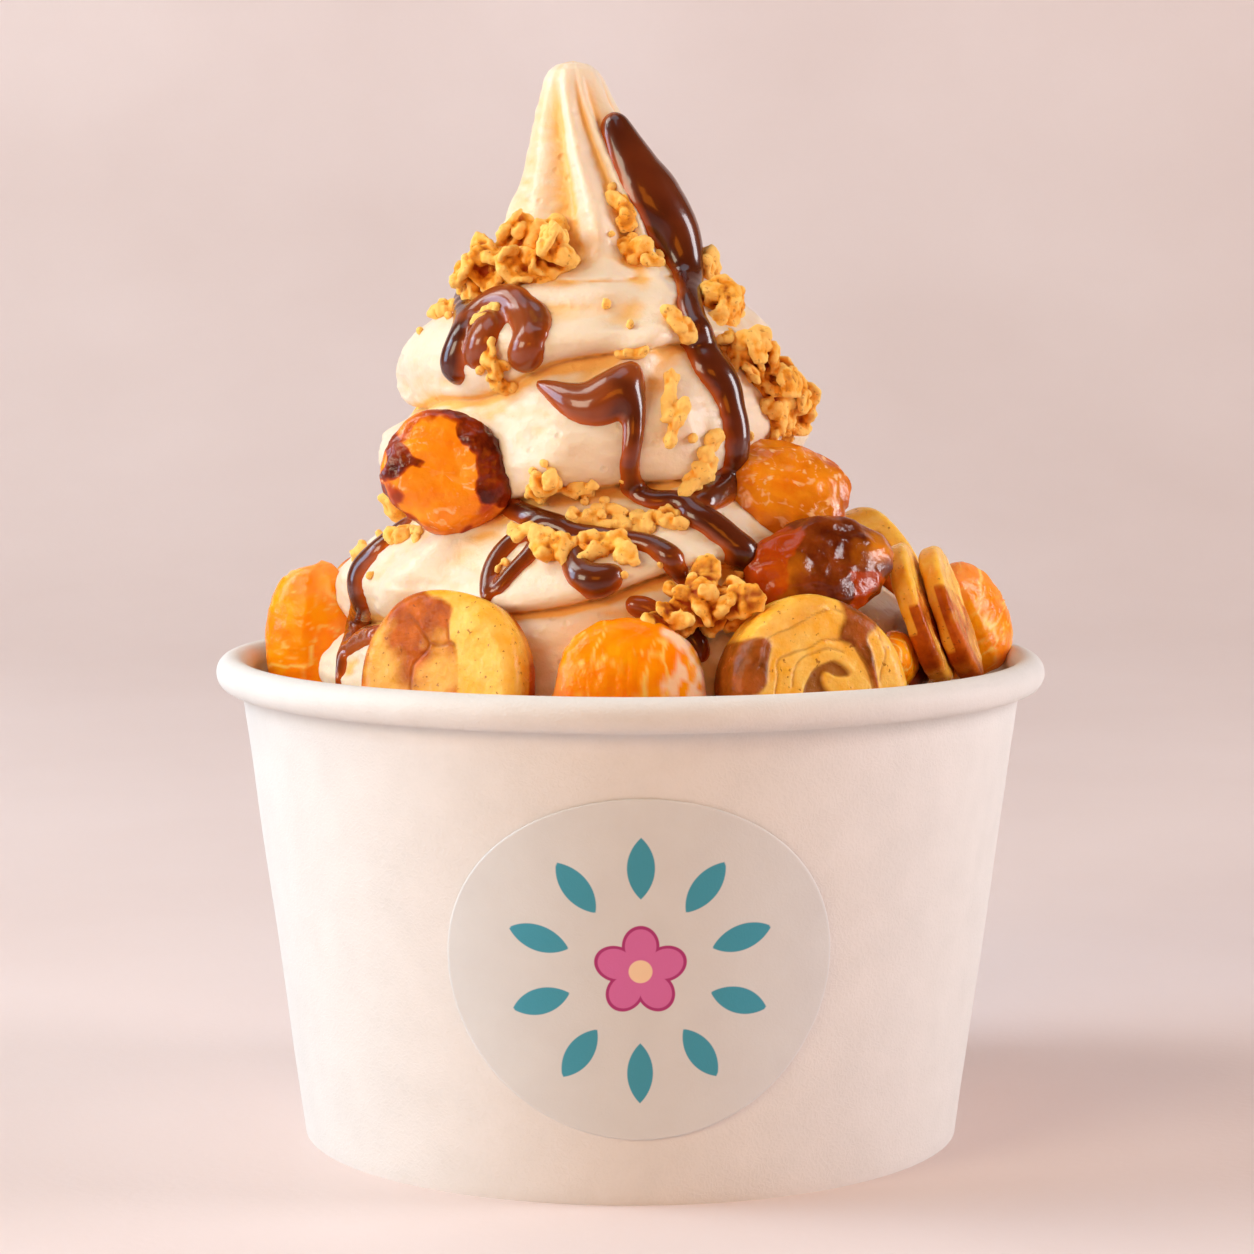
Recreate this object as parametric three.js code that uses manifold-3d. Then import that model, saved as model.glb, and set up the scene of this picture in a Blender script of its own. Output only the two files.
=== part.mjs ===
// A frozen yogurt cup: a paper cup with a rolled rim, filled with a tall swirl of
// soft-serve yogurt, chocolate sauce, granola, mandarin segments and banana slices.
// Millimetres, +Z up. The origin is on the floor, under the middle of the cup.
// An azimuth is in degrees, counted from the front (-Y) towards +X.
import * as THREE from "three";
import { mergeVertices } from "three/addons/utils/BufferGeometryUtils.js";
import Module from "manifold-3d";

const wasm = await Module();
wasm.setup();

// ---------------------------------------------------------------- driving sizes
const CUP_HEIGHT = 68.2;
const RIM_RADIUS = 57.5;
const ROLL_HALF_WIDTH = 2.2;
const ROLL_HALF_HEIGHT = 2.32;
const WALL_TOP_RADIUS = 54;
const WALL_FOOT_RADIUS = 45.5;
const PAPER = 0.6;
const FOOT_FOLD_WIDTH = 1.6;
const FOOT_FOLD_HEIGHT = 5;
const CUP_SIDES = 44;
const GAP = 0.3;

const LABEL_HALF_WIDTH = 25.5;
const LABEL_HALF_HEIGHT = 22.5;
const LABEL_CENTRE = { azimuth: 1.4, height: 32.6 };
const LABEL_THICKNESS = 0.3;

const FILL_HEIGHT = 55.5;
const SHELF_HEIGHT = 58.5;
const SHELF_RADIUS = 44.5;
const SWIRL_FOOT = 60;
const SPIRE_HEIGHT = 140;
const TIP_HEIGHT = 149.7;
const COIL_PITCH = 15.5;
const YOGURT_SIDES = 36;
const TOP_RINGS = [142.5, 145, 147, 148.6];
// where the rows of facets lie within one turn of the coil, dense at the crease
const ROWS_IN_A_TURN = [0, 0.08, 0.3, 0.58, 0.84];

// height and outer radius of the swirl
const SWIRL_OUTLINE = [
  [58, 42], [66, 42], [72, 40.5], [79, 38.2], [86, 33.2], [98, 30.2], [107, 27.2], [113, 24.6],
  [119, 18.3], [125, 13], [130, 10.4], [135, 8.4], [140, 6.5], [145, 4.6], [148.2, 2.8], [149.7, 0],
];
// height of the crease at the front, and the turn of the coil that starts there
const COIL_CREASES = [
  [46, -1], [62, 0], [77.5, 1], [92.5, 2], [108, 3], [119.5, 4], [131, 5], [150, 6.5],
];
// soft folds across the coils: start and end as azimuth and height, then width and height
const FOLDS = [
  { from: [-30, 64], to: [12, 82], width: 5, rise: 2.2 },
  { from: [14, 87], to: [34, 74], width: 4, rise: 1.6 },
  { from: [8, 108], to: [22, 119], width: 3, rise: 1.6 },
  { from: [56, 62], to: [88, 65], width: 6, rise: 3.5 },
  { from: [150, 70], to: [190, 88], width: 5, rise: 2 },
  { from: [-120, 92], to: [-95, 104], width: 4, rise: 1.5 },
];
const FOLD_RADIUS = 36;
const FLUTES = 7;
const FLUTE_DEPTH = 0.085;

// ---------------------------------------------------------------- colours and finishes
const FINISHES = {
  paper: { color: 0xf1e9df, roughness: 0.7, metalness: 0 },
  sticker: { color: 0xf3ece6, roughness: 0.35, metalness: 0 },
  yogurt: { color: 0xf6e6bf, roughness: 0.45, metalness: 0 },
  mandarin: { color: 0xf08a12, roughness: 0.3, metalness: 0 },
  banana: { color: 0xe9bd5c, roughness: 0.4, metalness: 0 },
  caramel: { color: 0xb5651d, roughness: 0.2, metalness: 0 },
  granola: { color: 0xc98a3f, roughness: 0.7, metalness: 0 },
};

function finish(name) {
  return new THREE.MeshStandardMaterial(FINISHES[name]);
}

// ---------------------------------------------------------------- small helpers
const radians = THREE.MathUtils.degToRad;

function smooth(from, to, value) {
  return THREE.MathUtils.smoothstep(value, from, to);
}

// straight-line interpolation in a table of [input, output] rows
function tableValue(table, input) {
  if (input <= table[0][0]) {
    return table[0][1];
  }
  for (let row = 1; row < table.length; row += 1) {
    const [x0, y0] = table[row - 1];
    const [x1, y1] = table[row];
    if (input <= x1) {
      return y0 + ((y1 - y0) * (input - x0)) / (x1 - x0);
    }
  }
  return table[table.length - 1][1];
}

// a repeatable source of numbers between 0 and 1
function randomFrom(seed) {
  let state = seed;
  return () => {
    state = (state * 1664525 + 1013904223) % 4294967296;
    return state / 4294967296;
  };
}

// ---------------------------------------------------------------- closed meshes
// rows of points around an axis, closed by a point at each end
function closedRows(rows, firstPole, lastPole) {
  const positions = [];
  const face = (...points) => points.forEach((point) => positions.push(point.x, point.y, point.z));
  const count = rows[0].length;
  for (let column = 0; column < count; column += 1) {
    const next = (column + 1) % count;
    face(firstPole, rows[0][next], rows[0][column]);
    for (let row = 1; row < rows.length; row += 1) {
      face(rows[row - 1][column], rows[row - 1][next], rows[row][next]);
      face(rows[row - 1][column], rows[row][next], rows[row][column]);
    }
    face(lastPole, rows[rows.length - 1][column], rows[rows.length - 1][next]);
  }
  const geometry = new THREE.BufferGeometry();
  geometry.setAttribute("position", new THREE.Float32BufferAttribute(positions, 3));
  return geometry;
}

// rows of points whose two ends meet row by row, or one turn of the coil further on
function openRows(rows) {
  const positions = [];
  const face = (...points) => points.forEach((point) => positions.push(point.x, point.y, point.z));
  for (let row = 1; row < rows.length; row += 1) {
    for (let column = 1; column < rows[row].length; column += 1) {
      face(rows[row - 1][column - 1], rows[row - 1][column], rows[row][column]);
      face(rows[row - 1][column - 1], rows[row][column], rows[row][column - 1]);
    }
  }
  const geometry = new THREE.BufferGeometry();
  geometry.setAttribute("position", new THREE.Float32BufferAttribute(positions, 3));
  return geometry;
}

// a manifold solid from a closed geometry whose faces point out or in
function solidOf(geometry) {
  const bare = geometry.clone();
  bare.deleteAttribute("normal");
  bare.deleteAttribute("uv");
  const merged = mergeVertices(bare, 1e-4);
  const corners = merged.index.array;
  const places = merged.attributes.position;
  const place = (corner) => new THREE.Vector3().fromBufferAttribute(places, corner);
  const faces = [];
  let volume = 0;
  for (let at = 0; at < corners.length; at += 3) {
    const [a, b, c] = corners.slice(at, at + 3);
    if (a !== b && b !== c && c !== a) {
      faces.push([a, b, c]);
      volume += place(a).dot(place(b).cross(place(c)));
    }
  }
  const outward = volume < 0 ? faces.map(([a, b, c]) => [a, c, b]) : faces;
  return new wasm.Manifold(new wasm.Mesh({
    numProp: 3,
    vertProperties: new Float32Array(merged.attributes.position.array),
    triVerts: new Uint32Array(outward.flat()),
  }));
}

function geometryOf(solid) {
  const { vertProperties, triVerts } = solid.getMesh();
  const geometry = new THREE.BufferGeometry();
  geometry.setAttribute("position", new THREE.BufferAttribute(new Float32Array(vertProperties), 3));
  geometry.setIndex(new THREE.BufferAttribute(new Uint32Array(triVerts), 1));
  return geometry;
}

// the largest body of a solid, without loose scraps
function largestBody(solid) {
  const bodies = solid.decompose();
  return bodies.reduce((best, body) => (body.volume() > best.volume() ? body : best));
}

function union(solids) {
  return solids.reduce((sum, solid) => sum.add(solid));
}

// ---------------------------------------------------------------- the paper cup
function wallRadius(height) {
  const share = height / (CUP_HEIGHT - 2 * ROLL_HALF_HEIGHT);
  return WALL_FOOT_RADIUS + (WALL_TOP_RADIUS - WALL_FOOT_RADIUS) * share;
}

function latheUpright(profile, sides) {
  const points = profile.map(([radius, height]) => new THREE.Vector2(radius, height));
  const geometry = new THREE.LatheGeometry(points, sides);
  return geometry.rotateX(Math.PI / 2);
}

function cupWallGeometry() {
  const rollRadius = RIM_RADIUS - ROLL_HALF_WIDTH;
  const rollHeight = CUP_HEIGHT - ROLL_HALF_HEIGHT;
  const profile = [[WALL_FOOT_RADIUS, 0], [wallRadius(rollHeight - 2.2), rollHeight - 2.2]];
  const rollSteps = 8;
  for (let step = 0; step <= rollSteps; step += 1) {
    const angle = radians(-60 + (240 * step) / rollSteps);
    const radius = rollRadius + ROLL_HALF_WIDTH * Math.cos(angle);
    profile.push([radius, rollHeight + ROLL_HALF_HEIGHT * Math.sin(angle)]);
  }
  profile.push([wallRadius(rollHeight - 2.6) - PAPER, rollHeight - 2.6]);
  profile.push([wallRadius(FOOT_FOLD_HEIGHT) - PAPER, FOOT_FOLD_HEIGHT]);
  profile.push([WALL_FOOT_RADIUS - FOOT_FOLD_WIDTH, FOOT_FOLD_HEIGHT]);
  profile.push([WALL_FOOT_RADIUS - FOOT_FOLD_WIDTH, 0]);
  profile.push([WALL_FOOT_RADIUS, 0]);
  return latheUpright(profile, CUP_SIDES);
}

const BASE_UNDERSIDE = FOOT_FOLD_HEIGHT + GAP;
const BASE_TOP = BASE_UNDERSIDE + PAPER;

function cupBaseGeometry() {
  const radius = wallRadius(BASE_UNDERSIDE) - PAPER - GAP;
  const profile = [
    [0, BASE_UNDERSIDE], [radius, BASE_UNDERSIDE], [radius, BASE_TOP], [0, BASE_TOP],
  ];
  return latheUpright(profile, CUP_SIDES);
}

// a thin oval sticker that follows the cone of the wall
function labelGeometry() {
  const sides = 24;
  const shares = [0.34, 0.68, 1];
  const place = (share, angle, lift) => {
    const height = LABEL_CENTRE.height + share * LABEL_HALF_HEIGHT * Math.cos(angle);
    const radius = wallRadius(height) + GAP + lift;
    const across = (share * LABEL_HALF_WIDTH * Math.sin(angle)) / wallRadius(LABEL_CENTRE.height);
    const azimuth = radians(LABEL_CENTRE.azimuth) + across;
    return new THREE.Vector3(radius * Math.sin(azimuth), -radius * Math.cos(azimuth), height);
  };
  const ring = (share, lift) => {
    const angles = Array.from({ length: sides }, (_, side) => (2 * Math.PI * side) / sides);
    return angles.map((angle) => place(share, angle, lift));
  };
  const inner = shares.map((share) => ring(share, 0));
  const outer = shares.map((share) => ring(share, LABEL_THICKNESS)).reverse();
  return closedRows([...inner, ...outer], place(0, 0, 0), place(0, 0, LABEL_THICKNESS));
}

// ---------------------------------------------------------------- the swirl
function swirlAxis(height) {
  return -5 * smooth(64, 96, height) + 0.9 * smooth(104, 126, height) - 3.8 * smooth(124, 150, height);
}

// how far the crease between two turns cuts in
function creaseDepth(azimuth, height) {
  const front = 0.5 + 0.5 * Math.cos(radians(azimuth - 25));
  const taper = 2.2 * smooth(86, 106, height) + 2.9 * smooth(111, 121, height);
  return (6.6 - taper - 1.5 * smooth(121, 128, height)) * (1 - 0.38 * front);
}

// the coil sinks towards the back: the turn that a point at this azimuth is ahead
function turnShift(azimuth) {
  const angle = radians(azimuth);
  return azimuth / 360 + (-0.4 * Math.sin(angle) - 2.2 * (1 - Math.cos(angle))) / COIL_PITCH;
}

function foldRise(azimuth, height) {
  let rise = 0;
  for (const fold of FOLDS) {
    const along = new THREE.Vector2(fold.to[0] - fold.from[0], fold.to[1] - fold.from[1]);
    const ahead = THREE.MathUtils.euclideanModulo(azimuth - fold.from[0] + 180, 360) - 180;
    const point = new THREE.Vector2(ahead, height - fold.from[1]);
    const perDegree = radians(1) * FOLD_RADIUS;
    along.x *= perDegree;
    point.x *= perDegree;
    const share = THREE.MathUtils.clamp(point.dot(along) / along.lengthSq(), 0, 1);
    const distance = point.distanceTo(along.multiplyScalar(share));
    rise += fold.rise * Math.exp(-((distance / fold.width) ** 2));
  }
  return rise;
}

function swirlRadius(azimuth, height) {
  const turn = tableValue(COIL_CREASES, height) - turnShift(azimuth);
  const inTurn = (turn - Math.floor(turn)) ** 0.62;
  const bulge = Math.max(1 - (2 * inTurn - 1) ** 2, 0) ** 0.66;
  const smoothRadius = tableValue(SWIRL_OUTLINE, height) - creaseDepth(azimuth, height) * (1 - bulge);
  const fluted = smooth(112, 128, height) * (1 - 0.5 * smooth(144, 150, height));
  const flute = Math.cos(FLUTES * radians(azimuth) + 0.6 + 0.03 * (height - 120));
  return smoothRadius * (1 + FLUTE_DEPTH * fluted * flute) + foldRise(azimuth, height);
}

function aroundAxis(azimuth, height, radius) {
  const angle = radians(azimuth);
  const across = swirlAxis(height) + radius * Math.sin(angle);
  return new THREE.Vector3(across, -radius * Math.cos(angle), height);
}

function swirlPoint(azimuth, height) {
  return aroundAxis(azimuth, height, swirlRadius(azimuth, height));
}

// the swirl over the filled cup: flat below, then rows that follow the coil, then level rings
function yogurtGeometry() {
  const azimuths = Array.from(
    { length: YOGURT_SIDES + 1 },
    (_, side) => -180 + (360 * side) / YOGURT_SIDES,
  );
  const bottom = BASE_TOP + GAP;
  const fromCup = (radius, height) => azimuths.map((azimuth) => {
    const angle = radians(azimuth);
    return new THREE.Vector3(radius * Math.sin(angle), -radius * Math.cos(angle), height);
  });
  const level = (height) => azimuths.map((azimuth) => swirlPoint(azimuth, height));
  const creaseHeights = COIL_CREASES.map(([height, turn]) => [turn, height]);
  const rows = [
    fromCup(0, bottom),
    fromCup(wallRadius(bottom) - PAPER - GAP, bottom),
    fromCup(wallRadius(FILL_HEIGHT) - PAPER - GAP, FILL_HEIGHT),
    fromCup(SHELF_RADIUS, SHELF_HEIGHT),
    level(SWIRL_FOOT),
  ];
  const firstTurn = -1;
  const lastTurn = 7;
  for (let turn = firstTurn; turn <= lastTurn; turn += 1) {
    for (const share of ROWS_IN_A_TURN) {
      rows.push(azimuths.map((azimuth) => {
        const height = tableValue(creaseHeights, turn + share + turnShift(azimuth));
        return swirlPoint(azimuth, THREE.MathUtils.clamp(height, SWIRL_FOOT, SPIRE_HEIGHT));
      }));
    }
  }
  TOP_RINGS.forEach((height) => rows.push(level(height)));
  rows.push(azimuths.map(() => aroundAxis(0, TIP_HEIGHT, 0)));
  return openRows(rows);
}

// ---------------------------------------------------------------- sauce and loose flakes
// strokes of sauce: azimuth, height and width along each stroke
const SAUCE_STROKES = [
  [[33, 141, 6], [39, 135, 8.5], [52, 129, 9], [56, 124, 7.5], [44, 119, 5], [39, 112, 6], [42, 105, 6.5],
    [40, 99, 6.5], [34, 93, 7], [25, 90, 6], [16, 90, 4], [11, 91.5, 3]],
  [[-17, 106, 3], [-8, 105, 5.5], [0, 105.5, 9], [7, 106, 7.5], [10, 102, 4], [9, 97, 3.5], [10, 91, 4]],
  [[-66, 119, 5], [-54, 114, 5], [-47, 109, 5.5], [-45, 106.5, 6]],
  [[-52, 114, 4.5], [-44, 117, 5], [-32, 117.5, 5.5], [-23, 114, 6], [-22, 110, 5.5], [-22.5, 108, 5.5]],
  [[-24, 90.5, 4.5], [-17, 88, 4], [-9, 85.5, 4.5], [0, 84.5, 5], [8, 85, 4.5], [13, 83.5, 4], [14, 80, 4]],
  [[-20, 86.5, 3], [-23.5, 82.5, 3.5], [-24, 78.5, 3]],
  [[-1.5, 84.5, 5], [-2, 81, 6]],
  [[20, 90, 5], [27, 87, 5.5], [33, 82, 6]],
  [[-60, 87, 3.5], [-69, 82.5, 4.5], [-72, 79, 5], [-68, 75, 4.5], [-73, 71, 4.5], [-76, 65, 5]],
  [[120, 126, 5], [118, 120, 6.5], [112, 113, 6], [116, 106, 5], [112, 99, 5.5], [104, 93, 6]],
  [[176, 120, 4], [188, 114, 6], [204, 110, 7], [212, 103, 5], [208, 96, 5]],
  [[150, 100, 4], [160, 93, 6], [172, 88, 5], [170, 80, 4.5], [176, 74, 5]],
];
const STROKE_STEP = 4.4;
// across a stroke: share of its half width, and height as a share of its thickness
const STROKE_TOP = [[-0.45, 0.95], [0.45, 0.95]];
const STROKE_EDGE_SINK = 0.35;
const STROKE_SINK = 1.1;
const STROKE_THICKNESS_SHARE = 0.27;

// the sauce bridges the creases, so it lies on a swirl that is evened out in height
function drapedPoint(azimuth, height, lift) {
  const reach = 2;
  const heights = [height - reach, height, height + reach];
  const radius = heights.reduce((sum, at) => sum + swirlRadius(azimuth, at), 0) / heights.length;
  return aroundAxis(azimuth, height, radius + lift);
}

function strokeSamples(stroke) {
  const curve = new THREE.CatmullRomCurve3(stroke.map(([azimuth, height, width]) => {
    return new THREE.Vector3(azimuth, height, width);
  }));
  const lengthOf = (from, to) => {
    const across = radians(to.x - from.x) * swirlRadius(from.x, from.y);
    return Math.hypot(across, to.y - from.y);
  };
  const fine = curve.getPoints(80);
  const samples = [fine[0]];
  let run = 0;
  for (let at = 1; at < fine.length; at += 1) {
    run += lengthOf(fine[at - 1], fine[at]);
    if (run > STROKE_STEP || at === fine.length - 1) {
      samples.push(fine[at]);
      run = 0;
    }
  }
  return samples;
}

function strokeSolid(stroke) {
  const samples = strokeSamples(stroke);
  const section = (index, scale, shift) => {
    const here = samples[index];
    const from = samples[Math.max(index - 1, 0)];
    const to = samples[Math.min(index + 1, samples.length - 1)];
    const radius = Math.max(swirlRadius(here.x, here.y), 5);
    const along = new THREE.Vector2(radians(to.x - from.x) * radius, to.y - from.y).normalize();
    const halfWidth = (here.z / 2) * scale;
    const thickness = here.z * STROKE_THICKNESS_SHARE * scale + 0.3;
    const place = (across, lift) => {
      const sideways = -along.y * across * halfWidth + along.x * shift;
      const upward = along.x * across * halfWidth + along.y * shift;
      return drapedPoint(here.x + THREE.MathUtils.radToDeg(sideways / radius), here.y + upward, lift);
    };
    return [
      place(-1, -STROKE_EDGE_SINK),
      ...STROKE_TOP.map(([across, share]) => place(across, share * thickness)),
      place(1, -STROKE_EDGE_SINK),
      place(0, -STROKE_SINK),
    ];
  };
  const last = samples.length - 1;
  const rows = [section(0, 0.6, -samples[0].z * 0.3)];
  samples.forEach((_, index) => rows.push(section(index, 1, 0)));
  rows.push(section(last, 0.6, samples[last].z * 0.3));
  const middle = (row) => row.reduce((sum, point) => sum.add(point), new THREE.Vector3())
    .divideScalar(row.length);
  return solidOf(closedRows(rows, middle(rows[0]), middle(rows[rows.length - 1])));
}

// one rounded crumb or flake with its middle at the origin
function bitGeometry(size, random) {
  const geometry = new THREE.IcosahedronGeometry(0.5, 0);
  geometry.deleteAttribute("normal");
  geometry.deleteAttribute("uv");
  const merged = mergeVertices(geometry, 1e-4);
  const place = merged.attributes.position;
  for (let corner = 0; corner < place.count; corner += 1) {
    const swell = 0.84 + 0.32 * random();
    const [x, y, z] = [place.getX(corner), place.getY(corner), place.getZ(corner)];
    place.setXYZ(corner, x * swell, y * swell, z * swell);
  }
  return merged.scale(size[0], size[1], size[2]);
}

// loose flakes on the swirl: azimuth, height, length, width and spin in degrees
const LOOSE_FLAKES = [
  [14, 129, 6.5, 4, 60], [21, 123, 6, 4, 30], [27, 114, 6, 4.5, 100], [10, 109.5, 6, 3.5, 10],
  [22, 103, 9, 4, 100], [29, 97, 6.5, 3.5, 60], [27, 92.5, 6, 5, 20], [-35, 113, 5, 4, 100],
  [-30, 108, 5.5, 4.5, 80], [-12, 94.5, 6.5, 4.5, 10], [-4, 94, 4.5, 3.5, 0], [16, 87, 7, 3.5, 170],
  [6, 89, 7, 3.5, 10], [-8, 84.5, 6.5, 5, 30], [-54, 85, 5.5, 4, 20], [-74, 86, 5, 4, 150],
  [27, 83, 6, 3.5, 120], [72, 121, 6, 4, 90], [130, 110, 6, 4, 40], [165, 118, 6, 4, 100],
  [198, 100, 6, 4, 20], [222, 108, 6.5, 4, 70],
];
const FLAKE_THICKNESS = 2.4;
const FLAKE_LIFT = 0.35;

function looseFlake([azimuth, height, length, width, spin], random) {
  const step = 1;
  const middle = swirlPoint(azimuth, height);
  const beside = aroundAxis(azimuth + step, height, swirlRadius(azimuth, height));
  const across = beside.sub(middle).normalize();
  const below = drapedPoint(azimuth, height - step, 0);
  const upward = drapedPoint(azimuth, height + step, 0).sub(below).normalize();
  const outward = new THREE.Vector3().crossVectors(across, upward).normalize();
  const up = new THREE.Vector3().crossVectors(outward, across);
  const geometry = bitGeometry([length, width, FLAKE_THICKNESS], random).rotateZ(radians(spin));
  geometry.applyMatrix4(new THREE.Matrix4().makeBasis(across, up, outward));
  const seat = middle.addScaledVector(outward, FLAKE_LIFT);
  return solidOf(geometry.translate(seat.x, seat.y, seat.z));
}

// ---------------------------------------------------------------- fruit and clusters
// a round slice that faces -Y, with a rounded edge and an uneven outline
function sliceGeometry({ radius, height = radius, thickness, uneven = 0.04, phase = 0 }, grow) {
  const sides = 13;
  const half = thickness / 2 + grow;
  const edge = Math.min(half * 0.55, radius * 0.3);
  const shoulder = 1 - edge / radius;
  const rings = [[shoulder, 0.96], [1, 0.5], [1, -0.5], [shoulder, -0.96]];
  const rows = rings.map(([share, side]) => Array.from({ length: sides }, (_, index) => {
    const angle = (2 * Math.PI * index) / sides;
    const waves = Math.cos(2 * angle + phase) + 0.5 * Math.cos(5 * angle + 2 * phase);
    const swell = 1 + uneven * waves;
    const x = (radius + grow) * share * swell * Math.cos(angle);
    const z = (height + grow) * share * swell * Math.sin(angle);
    return new THREE.Vector3(x, -side * half, z);
  }));
  return closedRows(rows, new THREE.Vector3(0, -half * 1.02, 0), new THREE.Vector3(0, half * 1.02, 0));
}

// a citrus segment: long in X, its round outer side up, thin at the inner edge below
function segmentGeometry({ length, depth, thickness }, grow) {
  const stations = 9;
  const section = [
    [0, -0.5], [0.62, -0.1], [1, 0.5], [0.62, 0.9],
    [0, 1], [-0.62, 0.9], [-1, 0.5], [-0.62, -0.1],
  ];
  const rows = [];
  for (let station = 1; station < stations; station += 1) {
    const angle = Math.PI * (station / stations - 0.5);
    const x = (length / 2 + grow) * Math.sin(angle);
    const tall = depth * Math.cos(angle) ** 0.75;
    const thick = (thickness / 2) * Math.cos(angle) ** 0.5 + grow;
    rows.push(section.map(([across, up]) => {
      const lift = up > 0 ? up * (tall * 0.6 + grow) : up * 2 * (tall * 0.4 + grow);
      return new THREE.Vector3(x, across * thick, lift - depth * 0.1);
    }));
  }
  const end = length / 2 + grow;
  return closedRows(rows, new THREE.Vector3(-end, 0, 0), new THREE.Vector3(end, 0, 0));
}

// granola that baked together: crumbs heaped about a middle
function clusterGeometry({ size, crumbs, seed }, grow) {
  const random = randomFrom(seed);
  const solids = [];
  for (let crumb = 0; crumb < crumbs; crumb += 1) {
    const angle = crumb * 2.4;
    const share = Math.sqrt((crumb + 0.2) / crumbs) * 0.72;
    const reach = size.map((side) => side / 2);
    const length = 6 + 2.6 * random();
    const sides = [length, length * 0.8, length * 0.65].map((side) => side + 2 * grow);
    const bit = bitGeometry(sides, random);
    bit.rotateX(3 * random()).rotateZ(3 * random());
    const x = reach[0] * share * Math.cos(angle);
    const y = -reach[1] * (0.55 - share * share) + 0.8 * (random() - 0.5);
    const z = reach[2] * share * Math.sin(angle);
    solids.push(solidOf(bit.translate(x, y, z)));
  }
  return geometryOf(largestBody(union(solids)));
}

const SHAPES = {
  banana: sliceGeometry,
  caramel: sliceGeometry,
  mandarin: segmentGeometry,
  granola: clusterGeometry,
};

// what lies on and in the yogurt: its place, its lean back, roll and turn in degrees, and its size
const TOPPINGS = {
  mandarin_front: ["mandarin", [0, -43.5, 68.5], [6, 2, 0],
    { length: 20, depth: 17, thickness: 10 }],
  mandarin_left: ["mandarin", [-45.4, 5, 69.2], [0, -88, -18],
    { length: 22, depth: 13, thickness: 9 }],
  mandarin_right: ["mandarin", [46.2, 5, 72.3], [0, -118, 18],
    { length: 16, depth: 15.5, thickness: 9 }],
  mandarin_right_low: ["mandarin", [35.4, -22.8, 69.3], [4, 12, 72],
    { length: 11, depth: 8, thickness: 5 }],
  mandarin_back_left: ["mandarin", [-23.5, 38.5, 67], [8, 6, -149],
    { length: 21, depth: 15, thickness: 9 }],
  mandarin_back_right: ["mandarin", [24, 38, 67.5], [4, -8, 148],
    { length: 21, depth: 15, thickness: 9 }],
  banana_left: ["banana", [-23.4, -39.8, 68.8], [14, 0, -26],
    { radius: 11.5, thickness: 7.5, phase: 1 }],
  banana_roll: ["banana", [23.4, -39.5, 66.5], [12, 0, 24],
    { radius: 12.8, thickness: 8, phase: 2 }],
  banana_edge_near: ["banana", [39, -17, 75], [20, 0, 80],
    { radius: 9.6, thickness: 2.8, phase: 3 }],
  banana_edge_far: ["banana", [43.6, -11.5, 74.5], [20, 0, 80],
    { radius: 9.4, thickness: 2.8, phase: 4 }],
  banana_back_right: ["banana", [36, 17.8, 78], [22, 0, 116],
    { radius: 10.5, thickness: 6, phase: 5 }],
  banana_back_middle: ["banana", [0.4, 43.5, 68.5], [16, 0, 179],
    { radius: 10.8, thickness: 7, phase: 6 }],
  banana_back_left: ["banana", [-39.5, 20.5, 71], [20, 0, -117],
    { radius: 9.8, thickness: 6, phase: 7 }],
  caramel_left: ["caramel", [-24.2, -24.6, 94.4], [4, 0, -8],
    { radius: 8.8, thickness: 6.5, phase: 1 }],
  caramel_right_top: ["caramel", [21.3, -18.5, 91.5], [30, 18, 12],
    { radius: 8.8, height: 5.8, thickness: 7.5, phase: 2 }],
  caramel_right_low: ["caramel", [25, -27.8, 81.9], [22, -8, 24],
    { radius: 10.4, height: 6.2, thickness: 8.5, phase: 3 }],
  caramel_back: ["caramel", [7, 30.5, 93], [22, 10, 170], { radius: 8.6, thickness: 7, phase: 4 }],
  caramel_back_left: ["caramel", [-27.5, 22, 88.5], [24, -14, -128],
    { radius: 9, height: 7.2, thickness: 8, phase: 5 }],
  granola_upper_left: ["granola", [-14.4, -11, 122.6], [30, 8, -38],
    { size: [18, 8, 14], crumbs: 8, seed: 11 }],
  granola_right_high: ["granola", [13, -12.5, 115.2], [24, 20, 46],
    { size: [8, 5, 9], crumbs: 4, seed: 12 }],
  granola_right_low: ["granola", [19.6, -12.5, 105], [14, 24, 56],
    { size: [20, 7, 13], crumbs: 8, seed: 13 }],
  granola_front: ["granola", [8.6, -38.8, 78.6], [22, 0, 12],
    { size: [13, 6, 9], crumbs: 6, seed: 14 }],
  granola_back: ["granola", [-6, 25, 108], [24, 0, 184],
    { size: [15, 6, 11], crumbs: 6, seed: 15 }],
  granola_back_right: ["granola", [20, 27, 88], [26, 0, 142],
    { size: [12, 6, 10], crumbs: 5, seed: 16 }],
};

function toppingMatrix([x, y, z], [lean, roll, turn]) {
  const pose = new THREE.Euler(radians(-lean), radians(roll), radians(turn), "ZXY");
  const matrix = new THREE.Matrix4().makeRotationFromEuler(pose);
  return matrix.setPosition(x, y, z);
}

function toppingSolid([kind, place, pose, size], grow) {
  const geometry = SHAPES[kind](size, grow);
  return solidOf(geometry.applyMatrix4(toppingMatrix(place, pose)));
}

// ---------------------------------------------------------------- the whole cup
const group = new THREE.Group();

function addPiece(name, geometry, finishName) {
  const mesh = new THREE.Mesh(geometry, finish(finishName));
  mesh.name = name;
  group.add(mesh);
}

addPiece("cup_wall", geometryOf(solidOf(cupWallGeometry())), "paper");
addPiece("cup_base", geometryOf(solidOf(cupBaseGeometry())), "paper");
addPiece("label", geometryOf(solidOf(labelGeometry())), "sticker");

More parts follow.
